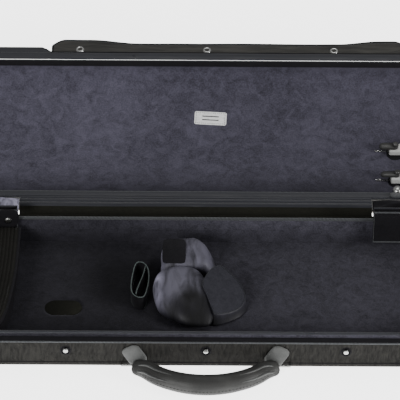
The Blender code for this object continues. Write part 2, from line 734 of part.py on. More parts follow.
def main():
    """Build every piece, then turn the lid open."""
    make_base_walls()
    make_floor()
    make_rim("base", BASE_TAPE_LOW, BASE_RIM - COIL)
    make_snap_studs()
    make_handle()
    make_slider("left", -1)
    make_slider("right", 1)
    make_hinge_cloth()
    make_cradle()
    make_neck_strap()
    make_pocket("left", *POCKET_LEFT)
    make_pocket("right", *POCKET_RIGHT)
    make_pocket_tab()
    make_left_compartment()
    lid_axis = pivot("lid_axis", (0.0, HINGE_Y, HINGE_Z))
    hang_on(lid_axis, *make_rim("lid", LID_TAPE_LOW, LID_RIM + COIL))
    make_lid_shells(lid_axis)
    make_storm_flap(lid_axis)
    make_bow_holders(lid_axis)
    make_label(lid_axis)
    lid_axis.rotation_euler.x = -OPEN_ANGLE
    bpy.context.view_layer.update()


main()
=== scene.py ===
"""Finished look of an oblong violin case lying open, laid out as an add-on and run as a script."""
import json
import math

import bmesh
import bpy
from mathutils import Matrix, Vector, noise


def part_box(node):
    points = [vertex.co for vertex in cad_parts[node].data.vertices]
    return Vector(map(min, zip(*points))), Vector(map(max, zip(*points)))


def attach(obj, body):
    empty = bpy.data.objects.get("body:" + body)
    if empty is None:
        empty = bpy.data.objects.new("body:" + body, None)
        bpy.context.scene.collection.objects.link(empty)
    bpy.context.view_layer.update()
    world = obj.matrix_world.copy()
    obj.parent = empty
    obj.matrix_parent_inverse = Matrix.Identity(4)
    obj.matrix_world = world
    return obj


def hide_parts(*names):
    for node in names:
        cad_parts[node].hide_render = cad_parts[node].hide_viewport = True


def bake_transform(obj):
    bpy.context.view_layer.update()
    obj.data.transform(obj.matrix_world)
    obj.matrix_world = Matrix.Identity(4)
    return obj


bl_info = {
    "name": "Oblong violin case",
    "version": (1, 0, 0),
    "blender": (4, 5, 0),
    "location": "View3D > Sidebar > Violin case",
    "description": "Builds the cloth, plush, trim and fittings of an open violin case round its frame",
    "category": "Add Mesh",
}

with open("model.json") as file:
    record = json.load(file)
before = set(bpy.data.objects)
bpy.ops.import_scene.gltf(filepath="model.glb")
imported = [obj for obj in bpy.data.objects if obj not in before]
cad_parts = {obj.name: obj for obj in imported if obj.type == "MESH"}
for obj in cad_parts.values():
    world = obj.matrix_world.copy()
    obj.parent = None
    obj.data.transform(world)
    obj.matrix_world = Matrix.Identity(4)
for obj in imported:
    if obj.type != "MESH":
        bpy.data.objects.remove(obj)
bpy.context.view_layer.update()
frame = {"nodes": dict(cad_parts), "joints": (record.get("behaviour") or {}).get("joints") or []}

# --- places read from the frame ----------------------------------------------------------

BASE_LOW, BASE_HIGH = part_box("base_bottom_panel")
LENGTH = BASE_HIGH[0] - BASE_LOW[0]
WIDTH = BASE_HIGH[1] - BASE_LOW[1]
PANEL_TOP = BASE_HIGH[2]
BASE_WALL_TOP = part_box("base_cover")[1][2]
FLOOR_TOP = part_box("floor_pad")[1][2]
VALANCE_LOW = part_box("base_valance")[0][2]
VALANCE_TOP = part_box("base_valance")[1][2]
VALANCE_INSET = BASE_HIGH[1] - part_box("base_valance")[1][1]
CORNER = 0.028
ROOF_RISE = 0.032
LINING_INSET = 0.0084
WALL_INSIDE = 0.0114
CLOTH = 0.0008
HINGE = next(joint for joint in frame["joints"] if joint["name"] == "lid_hinge")
HINGE_AT = Vector(HINGE["pos_m"])
OPEN_ANGLE = math.radians(HINGE["range_deg"][1])
TO_OPEN = Matrix.Translation(HINGE_AT) @ Matrix.Rotation(-OPEN_ANGLE, 4, "X") @ Matrix.Translation(-HINGE_AT)
TO_SHUT = TO_OPEN.inverted()
ROOF_RADIUS = ((WIDTH / 2) ** 2 + ROOF_RISE ** 2) / (2 * ROOF_RISE)
ROOF_CENTRE_Z = HINGE_AT.z + (
    ROOF_RADIUS - HINGE_AT.z - HINGE_AT.y * math.sin(OPEN_ANGLE)
) / math.cos(OPEN_ANGLE)

CORNER_STEPS = 10
LONG_STEPS = 60
SHORT_STEPS = 24


def corners(node):
    """Lowest and highest corner of a node."""
    return [Vector(corner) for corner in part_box(node)]


def shut_box(node):
    """Lowest and highest corner of a lid node with the lid shut."""
    places = [TO_SHUT @ vertex.co for vertex in frame["nodes"][node].data.vertices]
    low = Vector([min(place[axis] for place in places) for axis in range(3)])
    high = Vector([max(place[axis] for place in places) for axis in range(3)])
    return low, high


LID_WALL_LOW = shut_box("lid_side_cover")[0].z
LID_TAPE = shut_box("lid_zip_tape")
LID_COIL = shut_box("lid_zip_coil")


# --- colours and sizes a user would change -----------------------------------------------

def linear(code):
    """An sRGB hex colour as linear red, green and blue."""
    parts = [int(code[place:place + 2], 16) / 255 for place in (0, 2, 4)]
    return tuple(part / 12.92 if part <= 0.04045 else ((part + 0.055) / 1.055) ** 2.4 for part in parts)


def colour_setting(label, code):
    return bpy.props.FloatVectorProperty(
        name=label, description=f"Colour of the {label.lower()}", subtype="COLOR", size=3, min=0.0, max=1.0,
        default=linear(code),
    )


def size_setting(label, metres):
    return bpy.props.FloatProperty(
        name=label, description=f"{label}, in metres", unit="LENGTH", min=0.0, default=metres, precision=5
    )


class ViolinCaseColours(bpy.types.PropertyGroup):
    nylon: colour_setting("Outer nylon cloth", "302f2c")
    lid_velour: colour_setting("Lid velour", "474551")
    floor_plush: colour_setting("Floor plush", "26252b")
    cradle_velvet: colour_setting("Cradle velvet", "37363e")
    facet: colour_setting("Cradle's flat velour face", "2a2a30")
    webbing: colour_setting("Black webbing", "141316")
    trim: colour_setting("Grey trim cord", "404244")
    satin: colour_setting("Satin hinge cloth", "25262b")
    olive: colour_setting("Olive hinge tape", "171712")
    strap_edge: colour_setting("Strap's bound edge", "4d5755")
    leather: colour_setting("Handle leatherette", "30302f")
    # The tabs' paler leatherette is a painted highlight on their rolled, lit faces.
    highlit_tab_leather: colour_setting("Highlit tab leatherette", "434443")
    nickel: colour_setting("Nickel", "b4b4b2")
    black_nickel: colour_setting("Black nickel", "0c0c0d")
    plastic: colour_setting("Bow holder plastic", "b4b4b2")
    button: colour_setting("Bow button plastic", "2d2d2c")
    label: colour_setting("Label cloth", "fdfdfe")
    ink: colour_setting("Label's ruled lines", "2b2b2e")
    board: colour_setting("Shell board", "6b5a45")


class ViolinCaseSizes(bpy.types.PropertyGroup):
    weave: size_setting("Nylon thread spacing", 0.0030)
    grain: size_setting("Leather grain", 0.0016)
    nap: size_setting("Plush nap patches", 0.0060)
    teeth: size_setting("Zip tooth spacing", 0.0025)
    stitch: size_setting("Stitch spacing", 0.0050)
    rib: size_setting("Rib spacing of the compartment lid", 0.0050)


def colours():
    return bpy.context.scene.violin_case_colours


def sizes():
    return bpy.context.scene.violin_case_sizes


# --- materials ---------------------------------------------------------------------------

def add(tree, kind, inputs=None, **settings):
    """Add one node, set its settings, and set or link its inputs."""
    made = tree.nodes.new(kind)
    for key, value in settings.items():
        setattr(made, key, value)
    for key, value in (inputs or {}).items():
        if isinstance(value, bpy.types.NodeSocket):
            tree.links.new(value, made.inputs[key])
        else:
            made.inputs[key].default_value = value
    return made


def start_material(name, roughness, uv=False, **constants):
    """A new material, with its tree, its shader and where its pattern is read.

    That is the piece's own UV map where the pattern follows the cloth, else its Object coordinates."""
    made = bpy.data.materials.new(name)
    made.use_nodes = True
    tree = made.node_tree
    shader = tree.nodes["Principled BSDF"]
    for key, value in dict(constants, Roughness=roughness).items():
        shader.inputs[key.replace("_", " ")].default_value = value
    place = add(tree, "ShaderNodeTexCoord")
    return made, tree, shader, place.outputs["UV" if uv else "Object"]


def shade(colour, factor):
    """The same colour, lighter or darker, with its alpha."""
    return (*[min(1.0, part * factor) for part in colour], 1.0)


def waves(tree, vector, *spacings):
    """Product of two sine waves, one bump to each thread crossing, from -1 to 1."""
    parts = add(tree, "ShaderNodeSeparateXYZ", {0: vector})
    lines = []
    for socket, spacing in zip(parts.outputs, spacings):
        turned = add(tree, "ShaderNodeMath", {0: socket, 1: math.pi / spacing}, operation="MULTIPLY")
        lines.append(add(tree, "ShaderNodeMath", {0: turned.outputs[0]}, operation="SINE").outputs[0])
    return add(tree, "ShaderNodeMath", {0: lines[0], 1: lines[1]}, operation="MULTIPLY").outputs[0]


def total(tree, offset, *parts):
    """An offset plus each socket times its gain."""
    for socket, gain in parts:
        offset = add(tree, "ShaderNodeMath", {0: socket, 1: gain, 2: offset},
                     operation="MULTIPLY_ADD").outputs[0]
    return offset


def tint(tree, shader, factor, colour, dark, light):
    """Colour the shader between a darker and a lighter share of one colour, by a factor."""
    ramp = add(tree, "ShaderNodeMix", {0: factor, 6: shade(colour, dark), 7: shade(colour, light)},
               data_type="RGBA")
    tree.links.new(ramp.outputs[2], shader.inputs["Base Color"])
    return ramp.outputs[2]


def faded(tree, painted, socket, start, end, low, high):
    """A colour times a share that goes smoothly from low to high as the socket goes from start to end."""
    share = add(tree, "ShaderNodeMapRange", {0: socket, 1: start, 2: end, 3: low, 4: high},
                interpolation_type="SMOOTHSTEP")
    return add(tree, "ShaderNodeVectorMath", {0: painted, "Scale": share.outputs[0]},
               operation="SCALE").outputs[0]


def raise_by(tree, shader, height, distance, strength=1.0):
    """Bump the shader by a height."""
    bump = add(tree, "ShaderNodeBump", {"Height": height, "Distance": distance, "Strength": strength})
    tree.links.new(bump.outputs[0], shader.inputs["Normal"])


def woven_nylon(name, colour, grain=(0.45, 0.10), gain=2.6, gloss=0.5):
    """Coarse ballistic nylon: broken upright ridges that lean one way and the other, with a faint glint.

    The real threads are about 1.2 mm apart; the weave is drawn coarser so that it shows."""
    made, tree, shader, vector = start_material(
        name, 0.55, True, Sheen_Weight=0.12 * gloss, Sheen_Roughness=0.5, Specular_IOR_Level=gloss * 0.6)
    thread = sizes().weave
    warp = add(tree, "ShaderNodeTexNoise", {"Vector": vector, "Scale": 22.0, "Detail": 2.0})
    drift = add(tree, "ShaderNodeVectorMath", {0: warp.outputs["Color"], "Scale": 0.014}, operation="SCALE")
    moved = add(tree, "ShaderNodeVectorMath", {0: vector, 1: drift.outputs[0]}, operation="ADD")
    stretch = (grain[0] / thread, grain[1] / thread, grain[0] / thread)
    leaned = add(tree, "ShaderNodeMapping", {0: moved.outputs[0], "Scale": stretch})
    ridges = add(tree, "ShaderNodeTexNoise",
                 {"Vector": leaned.outputs[0], "Scale": 2.0, "Detail": 3.0, "Roughness": 0.6})
    fine = waves(tree, vector, thread * 0.35, thread * 0.4)
    wide = add(tree, "ShaderNodeTexNoise", {"Vector": vector, "Scale": 6.0, "Detail": 3.0})
    mixed = total(tree, 0.5 - gain / 2, (fine, 0.10), (ridges.outputs[0], gain))
    tint(tree, shader, total(tree, -0.45, (mixed, 1.0), (wide.outputs[0], 0.9)), colour, 0.55, 1.6)
    raise_by(tree, shader, mixed, 0.0009, 0.6)
    return made


def napped(name, colour, gloss=0.9, sheen=0.12, contrast=1.0, nap=None, lean=(), painted_shadow=None):
    """Velour or plush: dull depths with lighter brushed patches where the nap lies over.

    lean scales the colour along an axis as painted light and shade, partly also the nap's brushing: (axis,
    from, to, share, share).
    pool darkens the colour round one place as a painted cast shadow: (centre, radius, share)."""
    made, tree, shader, vector = start_material(
        name, gloss, Sheen_Weight=sheen, Sheen_Roughness=0.45, Sheen_Tint=(0.75, 0.75, 0.85, 1.0),
        Specular_IOR_Level=0.15)
    nap = nap or sizes().nap
    patches = add(tree, "ShaderNodeTexNoise", {"Vector": vector, "Scale": 0.35 / nap, "Detail": 5.0,
                                               "Roughness": 0.68, "Distortion": 0.8})
    fibres = add(tree, "ShaderNodeTexNoise", {"Vector": vector, "Scale": 3.2 / nap, "Detail": 2.0})
    broad = add(tree, "ShaderNodeTexNoise", {"Vector": vector, "Scale": 7.0, "Detail": 2.0})
    whole = total(tree, 0.5 - 2.35 * contrast, (patches.outputs[0], 2.2 * contrast),
                  (fibres.outputs[0], 1.6 * contrast), (broad.outputs[0], 0.9 * contrast))
    painted = tint(tree, shader, whole, colour, 0.5, 1.5)
    parts = add(tree, "ShaderNodeSeparateXYZ", {0: vector})
    # Painted light and shade along each axis, partly the nap's brushing.
    for axis, *span in lean:
        painted = faded(tree, painted, parts.outputs[axis], *span)
    # Painted cast shadow round one place.
    if painted_shadow:
        centre, radius, depth = painted_shadow
        moved = add(tree, "ShaderNodeMapping", {0: vector, "Location": [-value for value in centre]})
        flat = add(tree, "ShaderNodeVectorMath", {0: moved.outputs[0], 1: (0.8, 1.0, 1.0)},
                   operation="MULTIPLY")
        away = add(tree, "ShaderNodeVectorMath", {0: flat.outputs[0]}, operation="LENGTH")
        painted = faded(tree, painted, away.outputs["Value"], radius * 0.25, radius, depth, 1.0)
    tree.links.new(painted, shader.inputs["Base Color"])
    raise_by(tree, shader, whole, 0.0008, 0.4)
    return made


def crushed_velvet(name, colour):
    """Shiny crushed velvet: painted sheen streaks where the pile lies flat and throws the light back.

    The streaks run down the sides; the colour is darker towards the foot and round one spot as painted shade,
    and brighter at the cradle's left flank as a painted highlight."""
    made, tree, shader, vector = start_material(
        name, 0.5, Sheen_Weight=0.06, Sheen_Roughness=0.3, Specular_IOR_Level=0.25,
        Sheen_Tint=(0.8, 0.78, 0.9, 1.0))
    pulled = add(tree, "ShaderNodeMapping", {0: vector, "Scale": (60.0, 24.0, 12.0)})
    streaks = add(tree, "ShaderNodeTexNoise",
                  {"Vector": pulled.outputs[0], "Scale": 1.0, "Detail": 3.0, "Distortion": 0.9})
    pile = add(tree, "ShaderNodeTexNoise", {"Vector": vector, "Scale": 700.0, "Detail": 2.0})
    both = total(tree, -1.35, (streaks.outputs[0], 3.4), (pile.outputs[0], 0.4))
    # Painted sheen: the streaks brighten the colour.
    painted = tint(tree, shader, both, colour, 0.55, 2.3)
    parts = add(tree, "ShaderNodeSeparateXYZ", {0: vector})
    painted_shade_spot = add(tree, "ShaderNodeVectorMath", {0: vector, 1: (-0.012, -0.048, 0.036)}, operation="DISTANCE")
    # Painted shade: darker towards the foot.
    painted = faded(tree, painted, parts.outputs[2], 0.010, 0.045, 0.15, 1.1)
    # Painted highlight: five times brighter left of the cradle's left flank, which also lights the left hinge
    # gusset.
    painted = faded(tree, painted, parts.outputs[0], -0.070, -0.052, 5.0, 1.0)
    # Painted shade round one spot at the front lobe's lower middle.
    painted = faded(tree, painted, painted_shade_spot.outputs["Value"], 0.016, 0.046, 0.10, 1.0)
    tree.links.new(painted, shader.inputs["Base Color"])
    tree.links.new(total(tree, 0.8, (streaks.outputs[0], -0.5)), shader.inputs["Roughness"])
    raise_by(tree, shader, both, 0.0006, 0.35)
    return made


def cord_cloth(name, colour):
    """Twisted or corded trim: slanting ridges that catch a thin line of light."""
    made, tree, shader, vector = start_material(name, 0.45, True, Sheen_Weight=0.2, Specular_IOR_Level=0.08)
    spacing = 0.0022
    slant = add(tree, "ShaderNodeMapping", {0: vector, "Rotation": (0.0, 0.0, 0.6)})
    ridges = waves(tree, slant.outputs[0], spacing, spacing * 40)
    speck = add(tree, "ShaderNodeTexNoise", {"Vector": vector, "Scale": 120.0, "Detail": 2.0})
    height = total(tree, 0.3, (ridges, 0.25), (speck.outputs[0], 0.5))
    tint(tree, shader, height, colour, 0.6, 1.25)
    raise_by(tree, shader, height, 0.0004, 0.6)
    return made


def satin_cloth(name, colour):
    """Closely woven satin tape: long soft highlights broken by faint warp lines."""
    made, tree, shader, vector = start_material(name, 0.36, Sheen_Weight=0.15, Specular_IOR_Level=0.2,
                                                Anisotropic=0.4)
    stretched = add(tree, "ShaderNodeMapping", {0: vector, "Scale": (6.0, 420.0, 420.0)})
    lines = add(tree, "ShaderNodeTexNoise", {"Vector": stretched.outputs[0], "Scale": 1.0, "Detail": 4.0})
    blotch = add(tree, "ShaderNodeTexNoise", {"Vector": vector, "Scale": 22.0, "Detail": 3.0})
    both = total(tree, -0.1, (lines.outputs[0], 0.7), (blotch.outputs[0], 0.5))
    tint(tree, shader, both, colour, 0.6, 1.4)
    tree.links.new(total(tree, 0.12, (blotch.outputs[0], 0.5)), shader.inputs["Roughness"])
    raise_by(tree, shader, lines.outputs[0], 0.0003, 0.4)
    return made


def leatherette(name, colour):
    """Embossed vinyl leather: fine pebbles, worn smoother and paler on the broad noise."""
    made, tree, shader, vector = start_material(name, 0.42, Specular_IOR_Level=0.22)
    pebbles = add(tree, "ShaderNodeTexVoronoi", {"Vector": vector, "Scale": 1.0 / sizes().grain},
                  feature="SMOOTH_F1")
    wear = add(tree, "ShaderNodeTexNoise", {"Vector": vector, "Scale": 28.0, "Detail": 4.0})
    both = total(tree, -0.25, (wear.outputs[0], 1.4), (pebbles.outputs[0], -0.25))
    tint(tree, shader, both, colour, 0.6, 1.7)
    tree.links.new(total(tree, 0.62, (wear.outputs[0], -0.3)), shader.inputs["Roughness"])
    raise_by(tree, shader, pebbles.outputs[0], 0.0005, 0.35)
    return made


def polished(name, colour, roughness=0.22):
    """Polished nickel plating: mirror bright, with fine handling marks in its gloss."""
    made, tree, shader, vector = start_material(name, roughness, Metallic=1.0)
    marks = add(tree, "ShaderNodeTexNoise", {"Vector": vector, "Scale": 420.0, "Detail": 3.0})
    tint(tree, shader, marks.outputs[0], colour, 0.85, 1.1)
    tree.links.new(total(tree, roughness - 0.08, (marks.outputs[0], 0.2)), shader.inputs["Roughness"])
    return made


def moulded_plastic(name, colour):
    """Moulded ABS: satin with a faint orange-peel surface."""
    made, tree, shader, vector = start_material(name, 0.38)
    peel = add(tree, "ShaderNodeTexNoise", {"Vector": vector, "Scale": 300.0, "Detail": 2.0})
    tint(tree, shader, peel.outputs[0], colour, 0.85, 1.05)
    raise_by(tree, shader, peel.outputs[0], 0.0002, 0.3)
    return made


def fibre_board(name, colour):
    """Laminated board: short pressed fibres, seen only where the cloth is cut away."""
    made, tree, shader, vector = start_material(name, 0.8)
    long_grain = add(tree, "ShaderNodeMapping", {0: vector, "Scale": (40.0, 300.0, 300.0)})
    fibres = add(tree, "ShaderNodeTexNoise", {"Vector": long_grain.outputs[0], "Scale": 1.0, "Detail": 5.0})
    tint(tree, shader, fibres.outputs[0], colour, 0.6, 1.3)
    raise_by(tree, shader, fibres.outputs[0], 0.0003)
    return made


def ribbed_cloth(name, colour):
    """Corded cloth: fine threads across ribs that are raised in the mesh."""
    made, tree, shader, vector = start_material(name, 0.8, Specular_IOR_Level=0.12)
    threads = add(tree, "ShaderNodeTexNoise", {"Vector": vector, "Scale": 320.0, "Detail": 2.0})
    wide = add(tree, "ShaderNodeTexNoise", {"Vector": vector, "Scale": 16.0, "Detail": 3.0})
    both = total(tree, -0.25, (threads.outputs[0], 0.9), (wide.outputs[0], 0.6))
    tint(tree, shader, both, colour, 0.5, 1.6)
    raise_by(tree, shader, threads.outputs[0], 0.0003, 0.4)
    return made


MATERIALS = {}


def make_materials():
    """Every finish of the case, made once."""
    paint = colours()
    # Painted shade: the lid velour darker towards the hinge.
    painted_hinge_shade = (1, 0.185, 0.300, 0.42, 1.0)
    MATERIALS["nylon"] = woven_nylon("woven_nylon", paint.nylon)
    MATERIALS["wall_nylon"] = woven_nylon("woven_nylon_in_shade", shade(paint.nylon, 0.36)[:3], gain=3.6,
                                          gloss=0.1)
    MATERIALS["flap_nylon"] = woven_nylon("woven_nylon_flap", shade(paint.nylon, 0.9)[:3], grain=(0.03, 0.30))
    # Painted light: the lid velour lighter on the left and darker on the right, partly the nap's brushing.
    MATERIALS["lid_velour"] = napped("lid_velour", paint.lid_velour, contrast=0.8,
                                     lean=(painted_hinge_shade, (0, -0.30, 0.25, 1.08, 0.80)))
    # Painted shadow of the cradle, on the floor and wall to its left.
    painted_cradle_shadow = ((-0.100, 0.035, 0.010), 0.085, 0.30)
    # Painted light and shade: the floor plush lighter towards the right, partly the nap's brushing, and
    # darker towards the front wall.
    MATERIALS["floor_plush"] = napped("floor_plush", paint.floor_plush, contrast=1.0, nap=0.004,
                                      painted_shadow=painted_cradle_shadow,
                                      lean=((0, -0.16, 0.12, 0.62, 1.60), (1, -0.12, 0.02, 0.72, 1.0)))
    # Painted light and shade: the wall plush lighter towards the right and darker towards its foot.
    MATERIALS["wall_plush"] = napped("wall_plush", paint.floor_plush, contrast=0.9, nap=0.006,
                                     painted_shadow=painted_cradle_shadow,
                                     lean=((0, -0.16, 0.10, 1.0, 1.9), (2, 0.010, 0.045, 0.75, 1.35)))
    MATERIALS["facet"] = napped("cradle_facet_velour", paint.facet, contrast=0.6, nap=0.003)
    MATERIALS["cradle_velvet"] = crushed_velvet("crushed_velvet", paint.cradle_velvet)
    MATERIALS["black_plush"] = napped("black_plush", paint.webbing, 0.9, 0.05, 0.6, 0.004)
    MATERIALS["webbing"] = ribbed_cloth("webbing_tape", paint.webbing)
    MATERIALS["ribbed"] = ribbed_cloth("ribbed_cloth", shade(paint.nylon, 0.36)[:3])
    MATERIALS["trim"] = cord_cloth("trim_cord", paint.trim)
    MATERIALS["strap_edge"] = cord_cloth("strap_edge_cord", paint.strap_edge)
    MATERIALS["satin"] = satin_cloth("satin_hinge_cloth", paint.satin)
    MATERIALS["olive"] = ribbed_cloth("olive_hinge_tape", paint.olive)
    # Painted shade: the recess felt darker at its left end, under the recess's left rim.
    MATERIALS["felt"] = napped("olive_felt", paint.olive, contrast=0.6, nap=0.003, sheen=0.0,
                               lean=((0, -0.215, -0.165, 0.55, 1.3),))
    MATERIALS["leather"] = leatherette("handle_leatherette", paint.leather)
    # A paler copy of the handle leatherette, as a painted highlight.
    MATERIALS["highlit_tab_leather"] = leatherette("highlit_tab_leatherette", paint.highlit_tab_leather)
    MATERIALS["nickel"] = polished("polished_nickel", paint.nickel)
    MATERIALS["black_nickel"] = polished("black_nickel", paint.black_nickel, 0.2)
    MATERIALS["plastic"] = moulded_plastic("moulded_abs", paint.plastic)
    MATERIALS["button"] = moulded_plastic("dark_moulded_abs", paint.button)
    MATERIALS["label"] = ribbed_cloth("label_cloth", paint.label)
    MATERIALS["ink"] = ribbed_cloth("label_thread", paint.ink)
    MATERIALS["board"] = fibre_board("laminated_board", paint.board)


def second_finish(obj, kind, chosen):
    """Give the faces whose middle passes a test a second material."""
    obj.data.materials.append(MATERIALS[kind])
    last = len(obj.data.materials) - 1
    for face in obj.data.polygons:
        if chosen(face.center):
            face.material_index = last
    return obj


# --- mesh helpers ------------------------------------------------------------------------

def mend(mesh, weld=None, loose=False):
    """Turn the faces outward, after points that meet are welded and points without a face dropped."""
    shape = bmesh.new()
    shape.from_mesh(mesh)
    if weld:
        bmesh.ops.remove_doubles(shape, verts=shape.verts, dist=weld)
    if loose:
        bmesh.ops.delete(shape, geom=[spot for spot in shape.verts if not spot.link_faces], context="VERTS")
    bmesh.ops.recalc_face_normals(shape, faces=shape.faces)
    shape.to_mesh(mesh)
    shape.free()


def add_mesh(name, points, faces, material, uvs=None, sharp=40.0, outward=True):
    """A mesh object at the origin, smooth, with its normals outward and an optional UV for each corner."""
    mesh = bpy.data.meshes.new(name)
    mesh.from_pydata([tuple(point) for point in points], [], faces)
    if uvs:
        layer = mesh.uv_layers.new(name="UVMap")
        for loop, place in zip(layer.data, uvs):
            loop.uv = place
    if outward:
        mend(mesh)
    mesh.shade_smooth()
    mesh.set_sharp_from_angle(angle=math.radians(sharp))
    mesh.materials.append(MATERIALS[material])
    obj = bpy.data.objects.new(name, mesh)
    bpy.context.scene.collection.objects.link(obj)
    return obj


def place(obj, body, slot, *nodes):
    """Give a finished piece its body and hide the frame nodes it stands for; the slot is not used."""
    if nodes:
        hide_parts(*nodes)
    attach(obj, body)
    return obj


def dress(material, *nodes):
    """A frame node keeps its shape and takes a finished material."""
    for node in nodes:
        holder = frame["nodes"][node]
        for used in holder.material_slots:
            used.link = "OBJECT"
            used.material = MATERIALS[material]


def outline(inset):
    """The case's outline from above, with the same points at every inset."""
    radius = max(CORNER - inset, 0.0015)
    half_x, half_y = LENGTH / 2 - inset - radius, WIDTH / 2 - inset - radius
    arcs = []
    for corner, (side_x, side_y) in enumerate(((1, 1), (-1, 1), (-1, -1), (1, -1))):
        turns = [math.pi / 2 * (corner + step / CORNER_STEPS) for step in range(CORNER_STEPS + 1)]
        arcs.append([Vector((side_x * half_x + radius * math.cos(turn),
                             side_y * half_y + radius * math.sin(turn))) for turn in turns])
    points = []
    for corner, bend in enumerate(arcs):
        steps = LONG_STEPS if corner % 2 == 0 else SHORT_STEPS
        end = arcs[(corner + 1) % 4][0]
        points += bend
        points += [bend[-1].lerp(end, step / steps) for step in range(1, steps)]
    return points


def circle(steps):
    """Even turns round a circle."""
    return [2 * math.pi * step / steps for step in range(steps)]


def spread(low, high, steps):
    """Even numbers from low to high, both included."""
    return [low + (high - low) * step / steps for step in range(steps + 1)]


def clamp(value):
    """A number kept between 0 and 1."""
    return min(max(value, 0.0), 1.0)


def waver(x, y, z, size):
    """Smooth noise at a place, of a given size."""
    return noise.noise(Vector((x, y, z))) * size


def lay_rows(name, rows, material, loop=True, closed=True, matrix=None, sharp=40.0):
    """A skin over rows of points. loop joins the last row to the first; closed joins each row's ends.

    Without loop, the first and last rows are filled. The UV is the length along and across the rows."""
    count = len(rows[0])
    points = [Vector(point) for row in rows for point in row]
    along = [0.0]
    for index in range(count):
        along.append(along[-1] + (points[(index + 1) % count] - points[index]).length)
    across = [0.0]
    for index in range(len(rows)):
        here, after = points[index * count], points[(index + 1) % len(rows) * count]
        across.append(across[-1] + (after - here).length)
    faces, uvs = [], []
    for row in range(len(rows) if loop else len(rows) - 1):
        after = (row + 1) % len(rows)
        for index in range(count if closed else count - 1):
            right = (index + 1) % count
            faces.append((row * count + index, row * count + right, after * count + right,
                          after * count + index))
            uvs += [(along[index], across[row]), (along[index + 1], across[row]),
                    (along[index + 1], across[row + 1]), (along[index], across[row + 1])]
    if not loop:
        for row in (0, len(rows) - 1):
            faces.append(tuple(row * count + index for index in range(count)))
            uvs += [(points[row * count + index].x, points[row * count + index].y) for index in range(count)]
    if matrix:
        points = [matrix @ point for point in points]
    return add_mesh(name, points, faces, material, uvs, sharp)


def ring(name, profile, material, loop=True, matrix=None):
    """A profile of (inset, height) swept round the case; a height may be a function of x and y."""
    rows = []
    for inset, height in profile:
        row = []
        for spot in outline(inset):
            z = height(spot.x, spot.y) if callable(height) else height
            row.append(Vector((spot.x, spot.y, z)))
        rows.append(row)
    return lay_rows(name, rows, material, loop, True, matrix)


def rounded_profile(inset, width, low, high, radius):
    """A strip's cross-section as (inset, height), with round corners."""
    far, near = inset + width - radius, inset + radius
    points = []
    for x, z, start in ((far, high - radius, 0), (near, high - radius, 90),
                        (near, low + radius, 180), (far, low + radius, 270)):
        points += arc_points((x, z), radius, start, 90, 4)
    return points


def bead_profile(inset, height, radius, sides=8):
    """A round cross-section as (inset, height)."""
    return [(inset + radius * math.cos(turn), height + radius * math.sin(turn)) for turn in circle(sides)]


def tube(name, path, radii, material, sides=12, closed=False, flat=1.0, up=Vector((0, 0, 1)), matrix=None):
    """A round or flattened tube along a path; radii is one number or one for each point."""
    count = len(path)
    rows = []
    for index, centre in enumerate(path):
        before = path[index - 1] if index or closed else centre
        after = path[(index + 1) % count] if index < count - 1 or closed else centre
        along = (Vector(after) - Vector(before)).normalized()
        side = along.cross(up).normalized()
        top = side.cross(along).normalized()
        radius = radii[index] if hasattr(radii, "__len__") else radii
        turns = circle(sides)
        rows.append([Vector(centre) + side * radius * math.cos(turn) + top * radius * flat * math.sin(turn)
                     for turn in turns])
    return lay_rows(name, rows, material, closed, True, matrix)


def grid_edge(width, height):
    """Numbers of the points round the edge of a grid, in order."""
    edge = list(range(width)) + [row * width + width - 1 for row in range(1, height)]
    edge += [(height - 1) * width + column for column in range(width - 2, -1, -1)]
    return edge + [row * width for row in range(height - 2, 0, -1)]


def slab(name, grid, thickness, material, matrix=None):
    """A sheet over a grid of points, given a thickness along each point's normal."""
    height, width = len(grid), len(grid[0])
    front, back = [], []
    for row in range(height):
        for column in range(width):
            left, right = grid[row][max(column - 1, 0)], grid[row][min(column + 1, width - 1)]
            below, above = grid[max(row - 1, 0)][column], grid[min(row + 1, height - 1)][column]
            normal = (right - left).cross(above - below).normalized() * thickness / 2
            front.append(grid[row][column] + normal)
            back.append(grid[row][column] - normal)
    points = front + back
    half = len(front)
    faces, uvs = [], []

    def quad(*numbers):
        faces.append(numbers)
        for corner in numbers:
            row, column = divmod(corner % half, width)
            span_x = (grid[row][column] - grid[row][0]).length
            span_y = (grid[row][column] - grid[0][column]).length
            uvs.append((span_x, span_y))

    for row in range(height - 1):
        for column in range(width - 1):
            corner = row * width + column
            quad(corner, corner + 1, corner + width + 1, corner + width)
            quad(*[half + other for other in (corner, corner + width, corner + width + 1, corner + 1)])
    edge = grid_edge(width, height)
    for index, corner in enumerate(edge):
        other = edge[(index + 1) % len(edge)]
        quad(corner, half + corner, half + other, other)
    if matrix:
        points = [matrix @ point for point in points]
    return add_mesh(name, points, faces, material, uvs)


